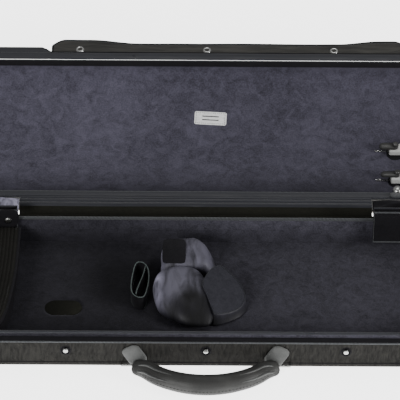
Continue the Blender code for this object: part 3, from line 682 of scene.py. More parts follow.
def row_tree():
    """Geometry Nodes tree that sets small rounded lumps along a curve."""
    found = bpy.data.node_groups.get("lumps_along_path")
    if found:
        return found
    tree = bpy.data.node_groups.new("lumps_along_path", "GeometryNodeTree")
    tree.interface.new_socket("Geometry", in_out="INPUT", socket_type="NodeSocketGeometry")
    tree.interface.new_socket("Spacing", in_out="INPUT", socket_type="NodeSocketFloat")
    tree.interface.new_socket("Size", in_out="INPUT", socket_type="NodeSocketVector")
    tree.interface.new_socket("Material", in_out="INPUT", socket_type="NodeSocketMaterial")
    tree.interface.new_socket("Geometry", in_out="OUTPUT", socket_type="NodeSocketGeometry")
    given = add(tree, "NodeGroupInput")
    spots = add(tree, "GeometryNodeCurveToPoints", {"Curve": given.outputs["Geometry"],
                                                    "Length": given.outputs["Spacing"]}, mode="LENGTH")
    lump = add(tree, "GeometryNodeMeshIcoSphere", {"Radius": 0.5, "Subdivisions": 1})
    laid = add(tree, "GeometryNodeInstanceOnPoints", {
        "Points": spots.outputs["Points"], "Instance": lump.outputs["Mesh"],
        "Rotation": spots.outputs["Rotation"], "Scale": given.outputs["Size"]})
    real = add(tree, "GeometryNodeRealizeInstances", {"Geometry": laid.outputs["Instances"]})
    coated = add(tree, "GeometryNodeSetMaterial", {"Geometry": real.outputs["Geometry"],
                                                   "Material": given.outputs["Material"]})
    add(tree, "NodeGroupOutput", {"Geometry": coated.outputs["Geometry"]})
    return tree


def row_of_lumps(name, paths, spacing, size, material, matrix=None):
    """Stitches or teeth along one or more paths, as one plain mesh. size is across, up and along the path."""
    curve = bpy.data.curves.new(name + "_path", "CURVE")
    curve.dimensions = "3D"
    for path in paths:
        spline = curve.splines.new("POLY")
        spline.points.add(len(path) - 1)
        for point, spot in zip(spline.points, path):
            point.co = (*spot, 1.0)
    carrier = bpy.data.objects.new(name + "_path", curve)
    bpy.context.scene.collection.objects.link(carrier)
    tree = row_tree()
    growth = carrier.modifiers.new("lumps", "NODES")
    growth.node_group = tree
    keys = {item.name: item.identifier for item in tree.interface.items_tree if item.in_out == "INPUT"}
    growth[keys["Spacing"]] = spacing
    growth[keys["Size"]] = size
    growth[keys["Material"]] = MATERIALS[material]
    bpy.context.view_layer.update()
    seen = carrier.evaluated_get(bpy.context.evaluated_depsgraph_get())
    mesh = bpy.data.meshes.new_from_object(seen)
    mesh.name = name
    bpy.data.objects.remove(carrier, do_unlink=True)
    if matrix:
        mesh.transform(matrix)
    mesh.shade_smooth()
    made = bpy.data.objects.new(name, mesh)
    bpy.context.scene.collection.objects.link(made)
    return made


def arc_points(centre, radius, start, sweep, steps):
    """Points of an arc in the plane, degrees in, both ends included."""
    turns = [math.radians(start + sweep * step / steps) for step in range(steps + 1)]
    return [(centre[0] + radius * math.cos(turn), centre[1] + radius * math.sin(turn)) for turn in turns]


def turned(name, profile, steps, material, matrix):
    """A solid of revolution about Z from a profile of (radius, height) that starts and ends on the axis."""
    rows = []
    for turn in circle(steps):
        rows.append([Vector((radius * math.cos(turn), radius * math.sin(turn), height)) for radius,
                     height in profile])
    made = lay_rows(name, rows, material, True, False, matrix)
    mend(made.data, weld=0.00001)
    return made


# --- stage -------------------------------------------------------------------------------

CAMERA_TARGET = Vector((-0.007, 0.2261, 0.0))
CAMERA_DISTANCE = 4.405
CAMERA_TILT = math.radians(38.76)
CAMERA_ROLL = math.radians(0.35)
CAMERA_LENS = 275.6


FLOOR_GLOW = 3.2
WORLD_GLOW = 0.34
WHITE = (1.0, 1.0, 1.0, 1.0)
LIGHTS = (
    ("front_left", (-1.5, -2.5, 1.5), 1.1, 62.0),
    ("right", (2.3, -0.9, 0.95), 0.9, 50.0),
    ("overhead", (0.2, 1.0, 2.6), 1.2, 12.0),
)


def add_light(name, location, size, power):
    """A large soft area light aimed where the camera looks."""
    lamp = bpy.data.lights.new(name, "AREA")
    lamp.shape = "DISK"
    lamp.size = size
    lamp.energy = power
    holder = bpy.data.objects.new(name, lamp)
    holder.location = location
    holder.rotation_euler = (CAMERA_TARGET - Vector(location)).to_track_quat("-Z", "Y").to_euler()
    bpy.context.scene.collection.objects.link(holder)


def make_stage():
    """Pale floor, soft lights, pale world and the camera."""
    floor, tree, shader, vector = start_material(
        "pale_floor", 0.9, Emission_Color=WHITE, Emission_Strength=FLOOR_GLOW)
    speckle = add(tree, "ShaderNodeTexNoise", {"Vector": vector, "Scale": 3.0})
    tint(tree, shader, speckle.outputs[0], WHITE[:3], 0.93, 0.96)
    MATERIALS["floor"] = floor
    spots = [(6.0 * x, 6.0 * y, -0.0005) for x, y in ((-1, -1), (1, -1), (1, 1), (-1, 1))]
    ground = add_mesh("floor", spots, [(0, 1, 2, 3)], "floor", outward=False)
    world = bpy.data.worlds.new("studio")
    bpy.context.scene.world = world
    world.use_nodes = True
    world.node_tree.nodes["Background"].inputs[0].default_value = WHITE
    world.node_tree.nodes["Background"].inputs[1].default_value = WORLD_GLOW
    for light in LIGHTS:
        add_light(*light)
    lens = bpy.data.cameras.new("camera")
    lens.lens = CAMERA_LENS
    lens.sensor_width = 36.0
    lens.clip_end = 50.0
    eye = bpy.data.objects.new("camera", lens)
    back = Vector((0.0, -math.cos(CAMERA_TILT), math.sin(CAMERA_TILT))) * CAMERA_DISTANCE
    turn = Matrix.Rotation(math.pi / 2 - CAMERA_TILT, 4, "X") @ Matrix.Rotation(CAMERA_ROLL, 4, "Z")
    eye.matrix_world = Matrix.Translation(CAMERA_TARGET + back) @ turn
    bpy.context.scene.collection.objects.link(eye)
    bpy.context.scene.camera = eye


# --- base --------------------------------------------------------------------------------

def make_base_cloth():
    """Nylon outer cloth of the base in one piece with its rounded foot and underside."""
    foot = 0.007
    profile = [(0.020, PANEL_TOP - 0.0008), (0.0032, PANEL_TOP - 0.0008)]
    profile += [(CLOTH, PANEL_TOP + 0.004), (CLOTH, BASE_WALL_TOP), (0.0, BASE_WALL_TOP + 0.0002)]
    profile += [(0.0, 0.036), (0.0, 0.026), (0.0, 0.016)]
    profile += [(foot - x, foot - z) for x, z in arc_points((0.0, 0.0), foot, 0, 90, 7)]
    profile += [(0.020, 0.0)]
    cover = ring("base_outer_cloth", profile, "wall_nylon", loop=False)
    place(cover, "base", "ballistic_cloth", "base_cover", "base_bottom_panel")
    seam = [(0.0003, 0.0105), (-0.0008, 0.0095), (0.0003, 0.0085)]
    welt = ring("base_foot_seam", seam, "webbing")
    place(welt, "base", "webbing")
    dress("board", "base_shell")


def make_base_inside():
    """Plush walls, floor pad with its oval recess, and the rolled dust lip."""
    wall = WALL_INSIDE
    profile = [(LINING_INSET, PANEL_TOP + 0.0004), (LINING_INSET, BASE_WALL_TOP)]
    profile += [(wall - 0.0012, BASE_WALL_TOP), (wall, BASE_WALL_TOP - 0.0010)]
    profile += [(wall, 0.034), (wall, 0.024), (wall, 0.014), (wall, PANEL_TOP + 0.0004)]
    place(ring("base_wall_plush", profile, "wall_plush"), "base", "plush", "base_lining")
    lip = rounded_profile(VALANCE_INSET, 0.0019, VALANCE_LOW, VALANCE_TOP, 0.0009)
    place(ring("base_dust_lip", lip, "wall_plush"), "base", "trim", "base_valance")
    middle = VALANCE_INSET + 0.0019
    roll = ring("base_dust_lip_roll", bead_profile(middle, VALANCE_TOP - 0.0004, 0.0022, 12), "satin")
    second_finish(roll, "trim", lambda spot: spot.y > WIDTH / 2 - CORNER)
    place(roll, "base", "trim")
    make_floor_pad()
    make_recess_insert()


RECESS_CENTRE = Vector((-0.194, -0.019))
RECESS_DEPTH = 0.0034


def make_floor_pad():
    """Plush pad with soft waves and an oval recess pressed into it."""
    centre = RECESS_CENTRE
    half_length, half_width, depth = 0.0255, 0.0158, RECESS_DEPTH
    inset = WALL_INSIDE + 0.0004
    half_x, half_y = LENGTH / 2 - inset, WIDTH / 2 - inset
    columns, rows = 300, 96
    corner = CORNER - inset

    def surface(x, y):
        straight = max(abs(x - centre.x) - (half_length - half_width), 0.0)
        reach = math.hypot(straight, y - centre.y) / half_width
        dip = depth * clamp((1.08 - reach) / 0.14)
        swell = waver(x * 14, y * 14, 0.3, 0.0004)
        return FLOOR_TOP - 0.0003 - dip + swell

    grid = []
    for row in range(rows + 1):
        y = -half_y + 2 * half_y * row / rows
        over = max(abs(y) - (half_y - corner), 0.0)
        reach_x = half_x - corner + math.sqrt(max(corner ** 2 - over ** 2, 0.0))
        line = []
        for column in range(columns + 1):
            x = reach_x * (2 * column / columns - 1)
            line.append(Vector((x, y, surface(x, y))))
        grid.append(line)
    top_count = (rows + 1) * (columns + 1)
    points = [point for line in grid for point in line]
    points += [Vector((point.x, point.y, PANEL_TOP + 0.0002)) for point in points]
    faces = []
    width = columns + 1
    for row in range(rows):
        for column in range(columns):
            first = row * width + column
            faces.append((first, first + 1, first + width + 1, first + width))
    edge = grid_edge(width, rows + 1)
    for index, first in enumerate(edge):
        second = edge[(index + 1) % len(edge)]
        faces.append((first, top_count + first, top_count + second, second))
    faces.append(tuple(top_count + first for first in reversed(edge)))
    pad = add_mesh("floor_plush_pad", points, faces, "floor_plush", sharp=60.0)
    mend(pad.data, loose=True)
    place(pad, "base", "plush", "floor_pad")


def make_recess_insert():
    """Olive felt laid in the floor's oval recess."""
    centre = RECESS_CENTRE
    levels = ((FLOOR_TOP - RECESS_DEPTH, 0.0), (FLOOR_TOP - 0.0020, 0.0), (FLOOR_TOP - 0.0014, 0.0012))
    rows = []
    for height, inset in levels:
        spots = stadium(0.0160 - inset, 0.0262 - inset, 16)
        rows.append([Vector((centre.x + y, centre.y - x, height)) for x, y in spots])
    insert = lay_rows("floor_recess_felt", rows, "felt", loop=False)
    place(insert, "base", "plush")


def zip_way(height, end_y, inset):
    """Path round the front and both ends, from hinge side to hinge side, at a height."""
    return [Vector((spot.x, spot.y, height)) for spot in outline(inset) if spot.y < end_y]


HINGE_SIDE = 0.098


def make_rims():
    """Zip tapes on both rims, their coils with single teeth, and the piping at the hinge."""
    coil_base = (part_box("base_zip_coil")[0][2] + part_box("base_zip_coil")[1][2]) / 2
    tape_low, tape_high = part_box("base_zip_tape")[0][2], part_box("base_zip_tape")[1][2]
    inner = WALL_INSIDE - 0.0016
    rear = WIDTH / 2 - WALL_INSIDE - 0.0010
    tape = ring("base_zip_tape_cloth", rounded_profile(0.0016, inner, tape_low, tape_high, 0.0007),
                "black_plush")
    second_finish(tape, "olive", lambda spot: spot.y > rear)
    place(tape, "base", "webbing", "base_zip_tape")
    band = ring("lid_zip_tape_cloth", rounded_profile(0.0016, inner, LID_TAPE[0].z, LID_TAPE[1].z, 0.0007),
                "black_plush", matrix=TO_OPEN)
    second_finish(band, "satin", lambda spot: (TO_SHUT @ spot).y > rear + 0.0025)
    place(band, "lid", "webbing", "lid_zip_tape")
    coil_lid = (LID_COIL[0].z + LID_COIL[1].z) / 2
    for side, height, matrix, hinge in (("base", coil_base, Matrix.Identity(4), "olive"),
                                        ("lid", coil_lid, TO_OPEN, "satin")):
        cord = ring(f"{side}_rim_cord", bead_profile(0.0006, height, 0.00115, 10), "trim", matrix=matrix)
        back = matrix.inverted()
        second_finish(cord, hinge, lambda spot: (back @ spot).y > HINGE_SIDE)
        place(cord, side, "trim", f"{side}_zip_coil", f"{side}_hinge_piping")
        way = zip_way(height, HINGE_SIDE, 0.0004)
        teeth = row_of_lumps(f"{side}_zip_teeth", [way], sizes().teeth, (0.0022, 0.0022, 0.0013), "trim",
                             matrix)
        place(teeth, side, "trim")
    reach = LENGTH / 2 - CORNER
    edge = [Vector((x, WIDTH / 2 - WALL_INSIDE + 0.0008, LID_TAPE[0].z + 0.0006))
            for x in spread(-reach, reach, 60)]
    place(tube("lid_hinge_edge_cord", edge, 0.0009, "trim", 8, matrix=TO_OPEN), "lid", "trim")


def make_sliders():
    """Die-cast zip sliders with their pulls."""
    dress("nickel", "zip_slider_left", "zip_slider_right", "zip_pull_left", "zip_pull_right")
    for side in ("left", "right"):
        low, high = corners(f"zip_slider_{side}")
        outer = low.x if side == "left" else high.x
        middle = (low + high) / 2
        reach = -0.0011 if side == "left" else 0.0011
        bow = [Vector((outer - reach * 0.5, middle.y - 0.0042, middle.z)),
               Vector((outer + reach * 0.7, middle.y - 0.0026, middle.z)),
               Vector((outer + reach * 0.7, middle.y + 0.0026, middle.z)),
               Vector((outer - reach * 0.5, middle.y + 0.0042, middle.z))]
        loop = tube(f"zip_slider_bow_{side}", bow, 0.0005, "nickel", 8)
        place(loop, f"zip_slider_{side}", "nickel")


# --- lid ---------------------------------------------------------------------------------

def roof(y, inset=0.0):
    """Height of the lid's roof at a place across it, lid shut."""
    reach = ROOF_RADIUS - inset
    return ROOF_CENTRE_Z + math.sqrt(max(reach ** 2 - y ** 2, 0.0))


def vault_rows(inset, roof_inset, low, fillet):
    """Profile rows of one vaulted skin, from its wall's foot to the ridge."""
    def wall(share):
        return lambda x, y: low + share * (roof(y, roof_inset) - fillet - low)

    def crown(drop):
        return lambda x, y: roof(y, roof_inset) - drop

    rows = [(inset, wall(share)) for share in (0.0, 0.25, 0.5, 0.75)]
    for step in range(8):
        turn = math.pi / 2 * step / 7
        rows.append((inset + fillet * (1 - math.cos(turn)), crown(fillet * (1 - math.sin(turn)))))
    steps = 22
    start, end = inset + fillet, WIDTH / 2 - 0.0015
    for step in range(1, steps + 1):
        rows.append((start + (end - start) * step / steps, crown(0.0)))
    return rows


def make_lid_shells():
    """Nylon outside, hidden board and velour lining of the vaulted lid."""
    outside = vault_rows(0.0, 0.0, LID_WALL_LOW, 0.007)
    inside = vault_rows(CLOTH, CLOTH, LID_WALL_LOW, 0.0065)
    cover = ring("lid_outer_cloth", outside[::-1] + inside, "nylon", loop=False, matrix=TO_OPEN)
    place(cover, "lid", "ballistic_cloth", "lid_roof_cover", "lid_side_cover")
    dress("board", "lid_shell")
    edge = [(0.0009 - 0.0002, lambda x, y: roof(y) - 0.0052), (-0.0009, lambda x, y: roof(y) - 0.0062),
            (0.0004, lambda x, y: roof(y) - 0.0074)]
    place(ring("lid_edge_welt", edge, "webbing", matrix=TO_OPEN), "lid", "webbing")

    def ripple(point):
        wave = waver(point.x * 9, point.y * 11, 2.1, 0.0011)
        pucker = waver(point.x * 46, point.y * 60, 5.0, 1.0)
        near_front = clamp((-point.y - 0.060) / 0.05) * clamp((point.x - 0.12) / 0.15)
        lift = wave + pucker * 0.0011 * (0.15 + near_front)
        inner = clamp((point.z - LID_WALL_LOW) / 0.012)
        return Vector((0.0, 0.0, -abs(lift) * inner))

    face = vault_rows(WALL_INSIDE, WALL_INSIDE, LID_WALL_LOW, 0.016)
    back = vault_rows(LINING_INSET, LINING_INSET, LID_WALL_LOW, 0.015)
    lining = ring("lid_velour_lining", back[::-1] + face, "lid_velour", loop=False, matrix=TO_OPEN)
    for vertex in lining.data.vertices:
        shut = TO_SHUT @ vertex.co
        if shut.z < roof(shut.y, WALL_INSIDE) + 0.0008:
            vertex.co = TO_OPEN @ (shut + ripple(shut))
    place(lining, "lid", "velvet", "lid_lining")


# --- storm flap --------------------------------------------------------------------------

def make_storm_flap():
    """Cloth flap with its bound edge and stitching, and the zip gusset under it."""
    low, high = shut_box("storm_flap")
    root = high.y
    middle_z = (low.z + high.z) / 2
    deep = root - low.y
    shallow = deep - 0.0068

    def reach(x):
        left = clamp((x + 0.105) / -0.065)
        right = clamp((x - 0.195) / 0.060)
        share = max(left, right)
        share = share * share * (3 - 2 * share)
        corner = 0.020
        cut = max(0.0, (low.x + corner - x) / corner, (x - high.x + corner) / corner)
        return shallow + (deep - shallow) * share - 0.013 * cut ** 1.6 + waver(x * 11, 0, 0, 0.0008)

    def spot(x, share, lift=0.0):
        span = reach(x)
        y = root - span * share
        wave = waver(x * 16, share * 2.2, 1.0, 0.0011) * share
        sag = 0.0006 * math.sin(share * math.pi)
        return Vector((x, y, middle_z + wave - sag - lift))

    grid = [[spot(x, share) for x in spread(low.x, high.x, 132)] for share in spread(0, 1, 12)]
    flap = slab("storm_flap_cloth", grid, 0.0014, "flap_nylon", TO_OPEN)
    place(flap, "storm_flap", "ballistic_cloth", "storm_flap")
    xs = spread(low.x + 0.002, high.x - 0.002, 120)
    rim = [spot(x, 0.985) for x in xs]
    left_edge = [spot(xs[0], share) for share in (0.08, 0.3, 0.5, 0.7, 0.9)]
    right_edge = [spot(xs[-1], share) for share in (0.9, 0.7, 0.5, 0.3, 0.08)]
    binding = tube("storm_flap_binding", left_edge + rim + right_edge, 0.0014, "webbing", 8, matrix=TO_OPEN)
    place(binding, "storm_flap", "webbing")
    for name, share in (("edge", 0.90), ("root", 0.10)):
        way = [spot(x, share, 0.0009) for x in xs]
        stitches = row_of_lumps(f"storm_flap_stitches_{name}", [way], sizes().stitch,
                                (0.0009, 0.0007, 0.0034),
                                "trim", TO_OPEN)
        place(stitches, "storm_flap", "trim")
    make_gusset()
    dress("webbing", "flap_binding")


def make_gusset():
    """Rolled cloth gusset that carries the zip in front of the flap."""
    low, high = shut_box("zip_gusset")
    root = high.y
    flap_low, flap_high = shut_box("storm_flap")
    face = low.z - 0.0003

    def width_at(x):
        open_left = clamp((flap_low.x - x) / 0.012)
        open_right = clamp((x - flap_high.x) / 0.012)
        return 0.0125 + 0.0092 * max(open_left, open_right)

    rows = []
    for share in spread(0, 1, 12):
        row = []
        for x in spread(low.x, high.x, 150):
            bulge = 0.0011 * math.sin(math.pi * min(share * 1.05, 1.0)) ** 0.7
            ripple = waver(x * 13, share * 1.5, 7.0, 0.0003)
            row.append(Vector((x, root + 0.0019 - (width_at(x) + 0.0019) * share,
                               face + 0.0005 - bulge + ripple)))
        rows.append(row)
    gusset = slab("zip_gusset_cloth", rows, 0.0008, "satin", TO_OPEN)
    place(gusset, "storm_flap", "webbing", "zip_gusset")
    way = [Vector((x, root - 0.0098, face - 0.0012)) for x in spread(low.x + 0.004, low.x + 0.176, 60)]
    coil = row_of_lumps("zip_gusset_teeth", [way], sizes().teeth, (0.0021, 0.0012, 0.0016), "trim", TO_OPEN)
    place(coil, "storm_flap", "trim")
    side = [Vector((x, root - width_at(x) + 0.0004, face + 0.0002)) for x in spread(low.x, high.x, 120)]
    edge = tube("zip_gusset_edge", side, 0.0009, "webbing", 8, matrix=TO_OPEN)
    place(edge, "storm_flap", "webbing")


def make_snaps():
    """Nickel snaps: domed studs on the base, and caps through the flap with a dark ring round each."""
    for side in ("left", "middle", "right"):
        low, high = corners(f"snap_stud_{side}")
        centre = (low + high) / 2
        face = Matrix.Translation((centre.x, high.y, centre.z)) @ Matrix.Rotation(math.pi / 2, 4, "X")
        profile = [(0.0, 0.0), (0.0062, 0.0), (0.0066, 0.0004), (0.0060, 0.0008), (0.0043, 0.0004),
                   (0.0034, 0.0005), (0.0030, 0.0013), (0.0032, 0.0021), (0.0024, 0.0026), (0.0, 0.0027)]
        stud = turned(f"snap_stud_nickel_{side}", profile, 32, "black_nickel", face)
        second_finish(stud, "nickel", lambda spot: math.hypot(spot.x - centre.x, spot.z - centre.z) < 0.0034)
        place(stud, "base", "nickel", f"snap_stud_{side}")
        washer = [(0.0, -0.0001), (0.0078, -0.0001), (0.0078, 0.0003), (0.0068, 0.0005), (0.0064, 0.0001),
                  (0.0, 0.0001)]
        place(turned(f"snap_washer_{side}", washer, 32, "webbing", face), "base", "webbing")
        shut_low, shut_high = shut_box(f"flap_snap_{side}")
        middle = (shut_low + shut_high) / 2
        lift = TO_OPEN @ Matrix.Translation((middle.x, middle.y, shut_low.z))
        cap = [(0.0, 0.0022), (0.0029, 0.0022), (0.0031, 0.0), (0.0042, -0.0004), (0.0056, 0.0),
               (0.0062, 0.0008),
               (0.0058, 0.0011), (0.0037, 0.0011), (0.0037, 0.0030), (0.0066, 0.0031), (0.0062, 0.0043),
               (0.0036, 0.0053), (0.0, 0.0055)]
        dome = turned(f"flap_snap_nickel_{side}", cap, 32, "nickel", lift)
        place(dome, "storm_flap", "nickel", f"flap_snap_{side}")


# --- hinge side --------------------------------------------------------------------------

def make_hinge_cloth():
    """Dark olive channel and ribbed satin roll between base and lid, and two soft gussets."""
    low, high = corners("hinge_strip")
    way = [(0.1366, 0.0412), (0.1372, 0.0385), (0.1395, 0.0368), (0.1440, 0.0362), (0.1490, 0.0368),
           (0.1530, 0.0388),
           (0.1556, 0.0425), (0.1578, 0.0459), (0.1600, 0.0468), (0.1622, 0.0462), (0.1640, 0.0451),
           (0.1660, 0.0464),
           (0.1682, 0.0468), (0.1702, 0.0458), (0.1716, 0.0447), (0.1732, 0.0456), (0.1745, 0.0460),
           (0.1758, 0.0462)]
    path = smooth_path([Vector((0.0, y, z)) for y, z in way], 3)
    rows = []
    for spot in path:
        row = []
        for x in spread(low.x, high.x, 100):
            dent = waver(x * 12, spot.y * 60, 3.0, 0.0006)
            dent += waver(x * 90, spot.y * 160, 6.0, 0.0004) * clamp((x - 0.05) / 0.1)
            row.append(Vector((x, spot.y, spot.z + dent)))
        rows.append(row)
    strip = slab("hinge_satin_strip", rows, 0.0009, "satin")
    second_finish(strip, "olive", lambda spot: spot.y < 0.1562)
    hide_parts("hinge_strip")
    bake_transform(strip)
    for side in ("left", "right"):
        make_side_gusset(side)
    make_gusset_plate()


def make_gusset_plate():
    """Small plate with a bright domed cap, riveted through the right gusset to the lid's rim."""
    centre = Vector((0.2745, 0.1800, 0.0485))
    spots = [(centre.x + x, centre.y + y) for y, x in stadium(0.0052, 0.0125, 10)]
    rows = []
    for height, pinch in ((-0.0012, 0.0), (0.0004, 0.0), (0.0010, 0.08)):
        rows.append([Vector((centre.x + (x - centre.x) * (1 - pinch), centre.y + (y - centre.y) * (1 - pinch),
                             centre.z + height)) for x, y in spots])
    place(lay_rows("gusset_plate", rows, "trim", loop=False), "lid", "nickel")
    dome = [(0.0, 0.0), (0.0076, 0.0), (0.0074, 0.0022), (0.0060, 0.0044), (0.0036, 0.0058), (0.0, 0.0063)]
    at = Matrix.Translation((centre.x - 0.001, centre.y + 0.0105, centre.z - 0.0005))
    place(turned("gusset_domed_cap", dome, 28, "nickel", at), "lid", "nickel")


def smooth_path(points, steps, closed=False):
    """A Catmull-Rom curve through the points."""
    count = len(points)
    made = []
    for index in range(count if closed else count - 1):
        numbers = [(index + step) % count if closed else min(max(index + step, 0), count - 1)
                   for step in range(-1, 3)]
        before, here, after, beyond = [points[number] for number in numbers]
        square = 2 * before - 5 * here + 4 * after - beyond
        cube = 3 * here - before - 3 * after + beyond
        for step in range(steps):
            t = step / steps
            made.append(0.5 * ((2 * here) + (after - before) * t + square * t ** 2 + cube * t ** 3))
    return made if closed else made + [points[-1]]


def make_side_gusset(side):
    """Crumpled velvet gusset past one end of the hinge strip."""
    low, high = corners(f"hinge_gusset_{side}")
    rows = []
    puff = 0.0105 if side == "left" else 0.0065
    for share in spread(0, 1, 18):
        row = []
        for along in spread(0, 1, 40):
            x = low.x + (high.x - low.x) * along
            y = 0.1362 + (high.y + 0.0016 - 0.1362) * share
            crown = math.sin(math.pi * share) ** 0.6
            fold = waver(x * 60, y * 90, 9.0, 0.0035)
            fold += waver(x * 24, y * 30, 4.0, 0.003)
            edge = min(along, 1 - along) * 8
            row.append(Vector((x, y, 0.0405 + (puff + fold) * crown * min(1.0, 0.4 + edge))))
        rows.append(row)
    cloth = slab(f"hinge_gusset_velvet_{side}", rows, 0.0010,
                 "cradle_velvet" if side == "left" else "black_plush")
    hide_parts(f"hinge_gusset_{side}")
    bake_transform(cloth)


# --- inside the base ---------------------------------------------------------------------

def pillow(name, shape, low, high, centre, sag, ripple, seed):
    """A crowned cushion over an outline: full at its middle height and drawn in at foot and top."""
    levels = 16
    rows = []
    for level in range(levels + 1):
        turn = math.pi * (level / levels - 0.5)
        swell = max(max(math.cos(turn), 0.0) ** 0.36, 0.02)
        z = low + (high - low) * (0.5 + 0.5 * math.sin(turn))
        row = []
        for x, y in shape:
            x, y = centre[0] + (x - centre[0]) * swell, centre[1] + (y - centre[1]) * swell
            row.append(Vector((x, y, z + waver(x * 40 + seed, y * 40, z * 40, ripple))))
        rows.append(row)
    made = lay_rows(name, rows, "cradle_velvet", loop=False, sharp=75.0)
    for vertex in made.data.vertices:
        vertex.co = sag(vertex.co.copy())
    return made


def closed_outline(points, steps=6):
    """A smooth closed outline through a few points."""
    return [(spot.x, spot.y) for spot in smooth_path([Vector((x, y, 0.0)) for x, y in points], steps, True)]


def make_cradle():
    """Neck cradle: a front lobe, a rear lobe and the flat-faced ramp, all in shiny velvet."""
    low = FLOOR_TOP + 0.0002
    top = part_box("cradle_front_lobe")[1][2]
    front = closed_outline([(-0.0715, -0.018), (-0.064, -0.042), (-0.047, -0.058), (-0.0315, -0.068),
                            (-0.0138, -0.0712), (0.006, -0.067), (0.0105, -0.045), (0.006, -0.015),
                            (-0.004, 0.012),
                            (-0.018, 0.025), (-0.045, 0.027), (-0.066, 0.018), (-0.0725, 0.002)])

    def shape_front(co):
        share = (co.z - low) / (top - low)
        fall = max(0.0, (-0.002 - co.y) / 0.060)
        dip = max(0.0, (co.x + 0.020) / 0.030)
        return Vector((co.x + 0.004 * share, co.y + 0.007 * share,
                       co.z - share * (0.013 * fall ** 1.4 + 0.007 * dip)))

    lobe = pillow("cradle_front_pillow", front, low, top + 0.0010, (-0.032, -0.018), shape_front, 0.0014, 3.0)
    place(lobe, "base", "velvet", "cradle_front_lobe")
    rear = closed_outline([(-0.060, 0.048), (-0.058, 0.032), (-0.030, 0.0285), (0.000, 0.029),
                           (0.0135, 0.038),
                           (0.0135, 0.058), (0.004, 0.078), (-0.012, 0.090), (-0.036, 0.0925),
                           (-0.054, 0.088),
                           (-0.0605, 0.070)])

    def shape_rear(co):
        share = (co.z - low) / (top - low)
        ridge = math.exp(-((co.x + 0.012) / 0.009) ** 2)
        return Vector((co.x, co.y, co.z + share * (0.0030 * ridge - 0.010 * max(0.0,
                                                                                (co.x - 0.001) / 0.012))))

    back = pillow("cradle_rear_pillow", rear, low, top + 0.0004, (-0.026, 0.060), shape_rear, 0.0012, 8.0)
    place(back, "base", "velvet", "cradle_rear_lobe")
    make_ramp(low)
    make_patch()
    seam = [Vector((x * 0.93 - 0.0015, y * 0.93 + 0.0005, 0.0)) for x, y in front]
    way = []
    for spot in seam:
        if spot.x < -0.030 and spot.y < 0.020:
            fall = max(0.0, (-0.002 - spot.y) / 0.060)
            way.append(Vector((spot.x + 0.007, spot.y + 0.008, top - 0.0085 - 0.012 * fall)))
    piping = tube("cradle_front_piping", way, 0.0007, "trim", 8)
    place(piping, "base", "trim")


def make_ramp(low):
    """The cradle's flat velour face: a leaning facet with piped edges over a flared velvet skirt."""
    rim = closed_outline([(-0.0030, -0.012), (0.004, 0.008), (0.012, 0.021), (0.024, 0.0235), (0.036, 0.016),
                          (0.0480, 0.004), (0.0550, -0.010), (0.0550, -0.022), (0.047, -0.036),
                          (0.032, -0.047),
                          (0.0155, -0.0530), (0.0095, -0.045), (0.0030, -0.028)], 8)
    middle = Vector((0.027, -0.014))

    def face_height(x, y):
        return min(max(0.0440 - 0.33 * (x + 0.004) + 0.30 * (y + 0.012), 0.0180), 0.0465)

    rows = []
    for level in range(15):
        share = level / 14
        row = []
        for x, y in rim:
            flare = 1.0 + 0.17 * (1 - share) ** 1.5 * (1.0 if y < -0.02 else 0.35)
            if share < 0.12:
                flare -= 0.05 * (1 - share / 0.12)
            if share > 0.90:
                flare = 1.0 - (share - 0.90) * 0.55
            px, py = middle.x + (x - middle.x) * flare, middle.y + (y - middle.y) * flare
            row.append(Vector((px, max(py, -0.067),
                               low + (face_height(px, py) - low) * min(share / 0.92, 1.0))))
        rows.append(row)
    for share in (0.7, 0.4, 0.12):
        row = []
        for spot in rows[14]:
            px, py = middle.x + (spot.x - middle.x) * share, middle.y + (spot.y - middle.y) * share
            row.append(Vector((px, py, face_height(px, py))))
        rows.append(row)
    ramp = lay_rows("cradle_ramp_pad", rows, "cradle_velvet", loop=False, sharp=50.0)
    ramp.data.materials.append(MATERIALS["facet"])
    for face in ramp.data.polygons:
        spot = face.center
        if abs(spot.z - face_height(spot.x, spot.y)) < 0.0012 and face.normal.z > 0.6:
            face.material_index = 1
    place(ramp, "base", "velvet", "cradle_ramp")
    edge = [(middle.x + (x - middle.x) * 0.985, middle.y + (y - middle.y) * 0.985) for x, y in rim]
    way = [Vector((x, y, face_height(x, y) + 0.0003)) for x, y in edge]
    place(tube("cradle_ramp_piping", way, 0.0005, "satin", 8, closed=True), "base", "trim")


def make_patch():
    """Hook-and-loop patch: a black square with rounded corners and a looped pile."""
    low, high = corners("hook_patch")
    grid = []
    middle = (low + high) / 2
    for v in spread(-1, 1, 24):
        line = []
        for u in spread(-1, 1, 24):
            round_x = u * math.sqrt(1 - 0.18 * v ** 6)
            round_y = v * math.sqrt(1 - 0.18 * u ** 6)
            droop = -0.0045 * max(-v, 0) ** 2 - 0.0015 * u ** 2 - 0.002 * max(v, 0) ** 2
            line.append(Vector((middle.x + round_x * (high.x - low.x) / 2,
                                middle.y + round_y * (high.y - low.y) / 2,
                                high.z + 0.0010 + droop)))
        grid.append(line)
    patch = slab("hook_patch_pile", grid, 0.0020, "black_plush")
    place(patch, "base", "webbing", "hook_patch")
    loops = []
    for line in grid[2:-1:3]:
        loops.append([spot + Vector((0, 0, 0.0010)) for spot in line[1:-1]])
    pile = row_of_lumps("hook_patch_loops", loops, 0.0030, (0.0010, 0.0010, 0.0010), "black_plush")
    place(pile, "base", "webbing")


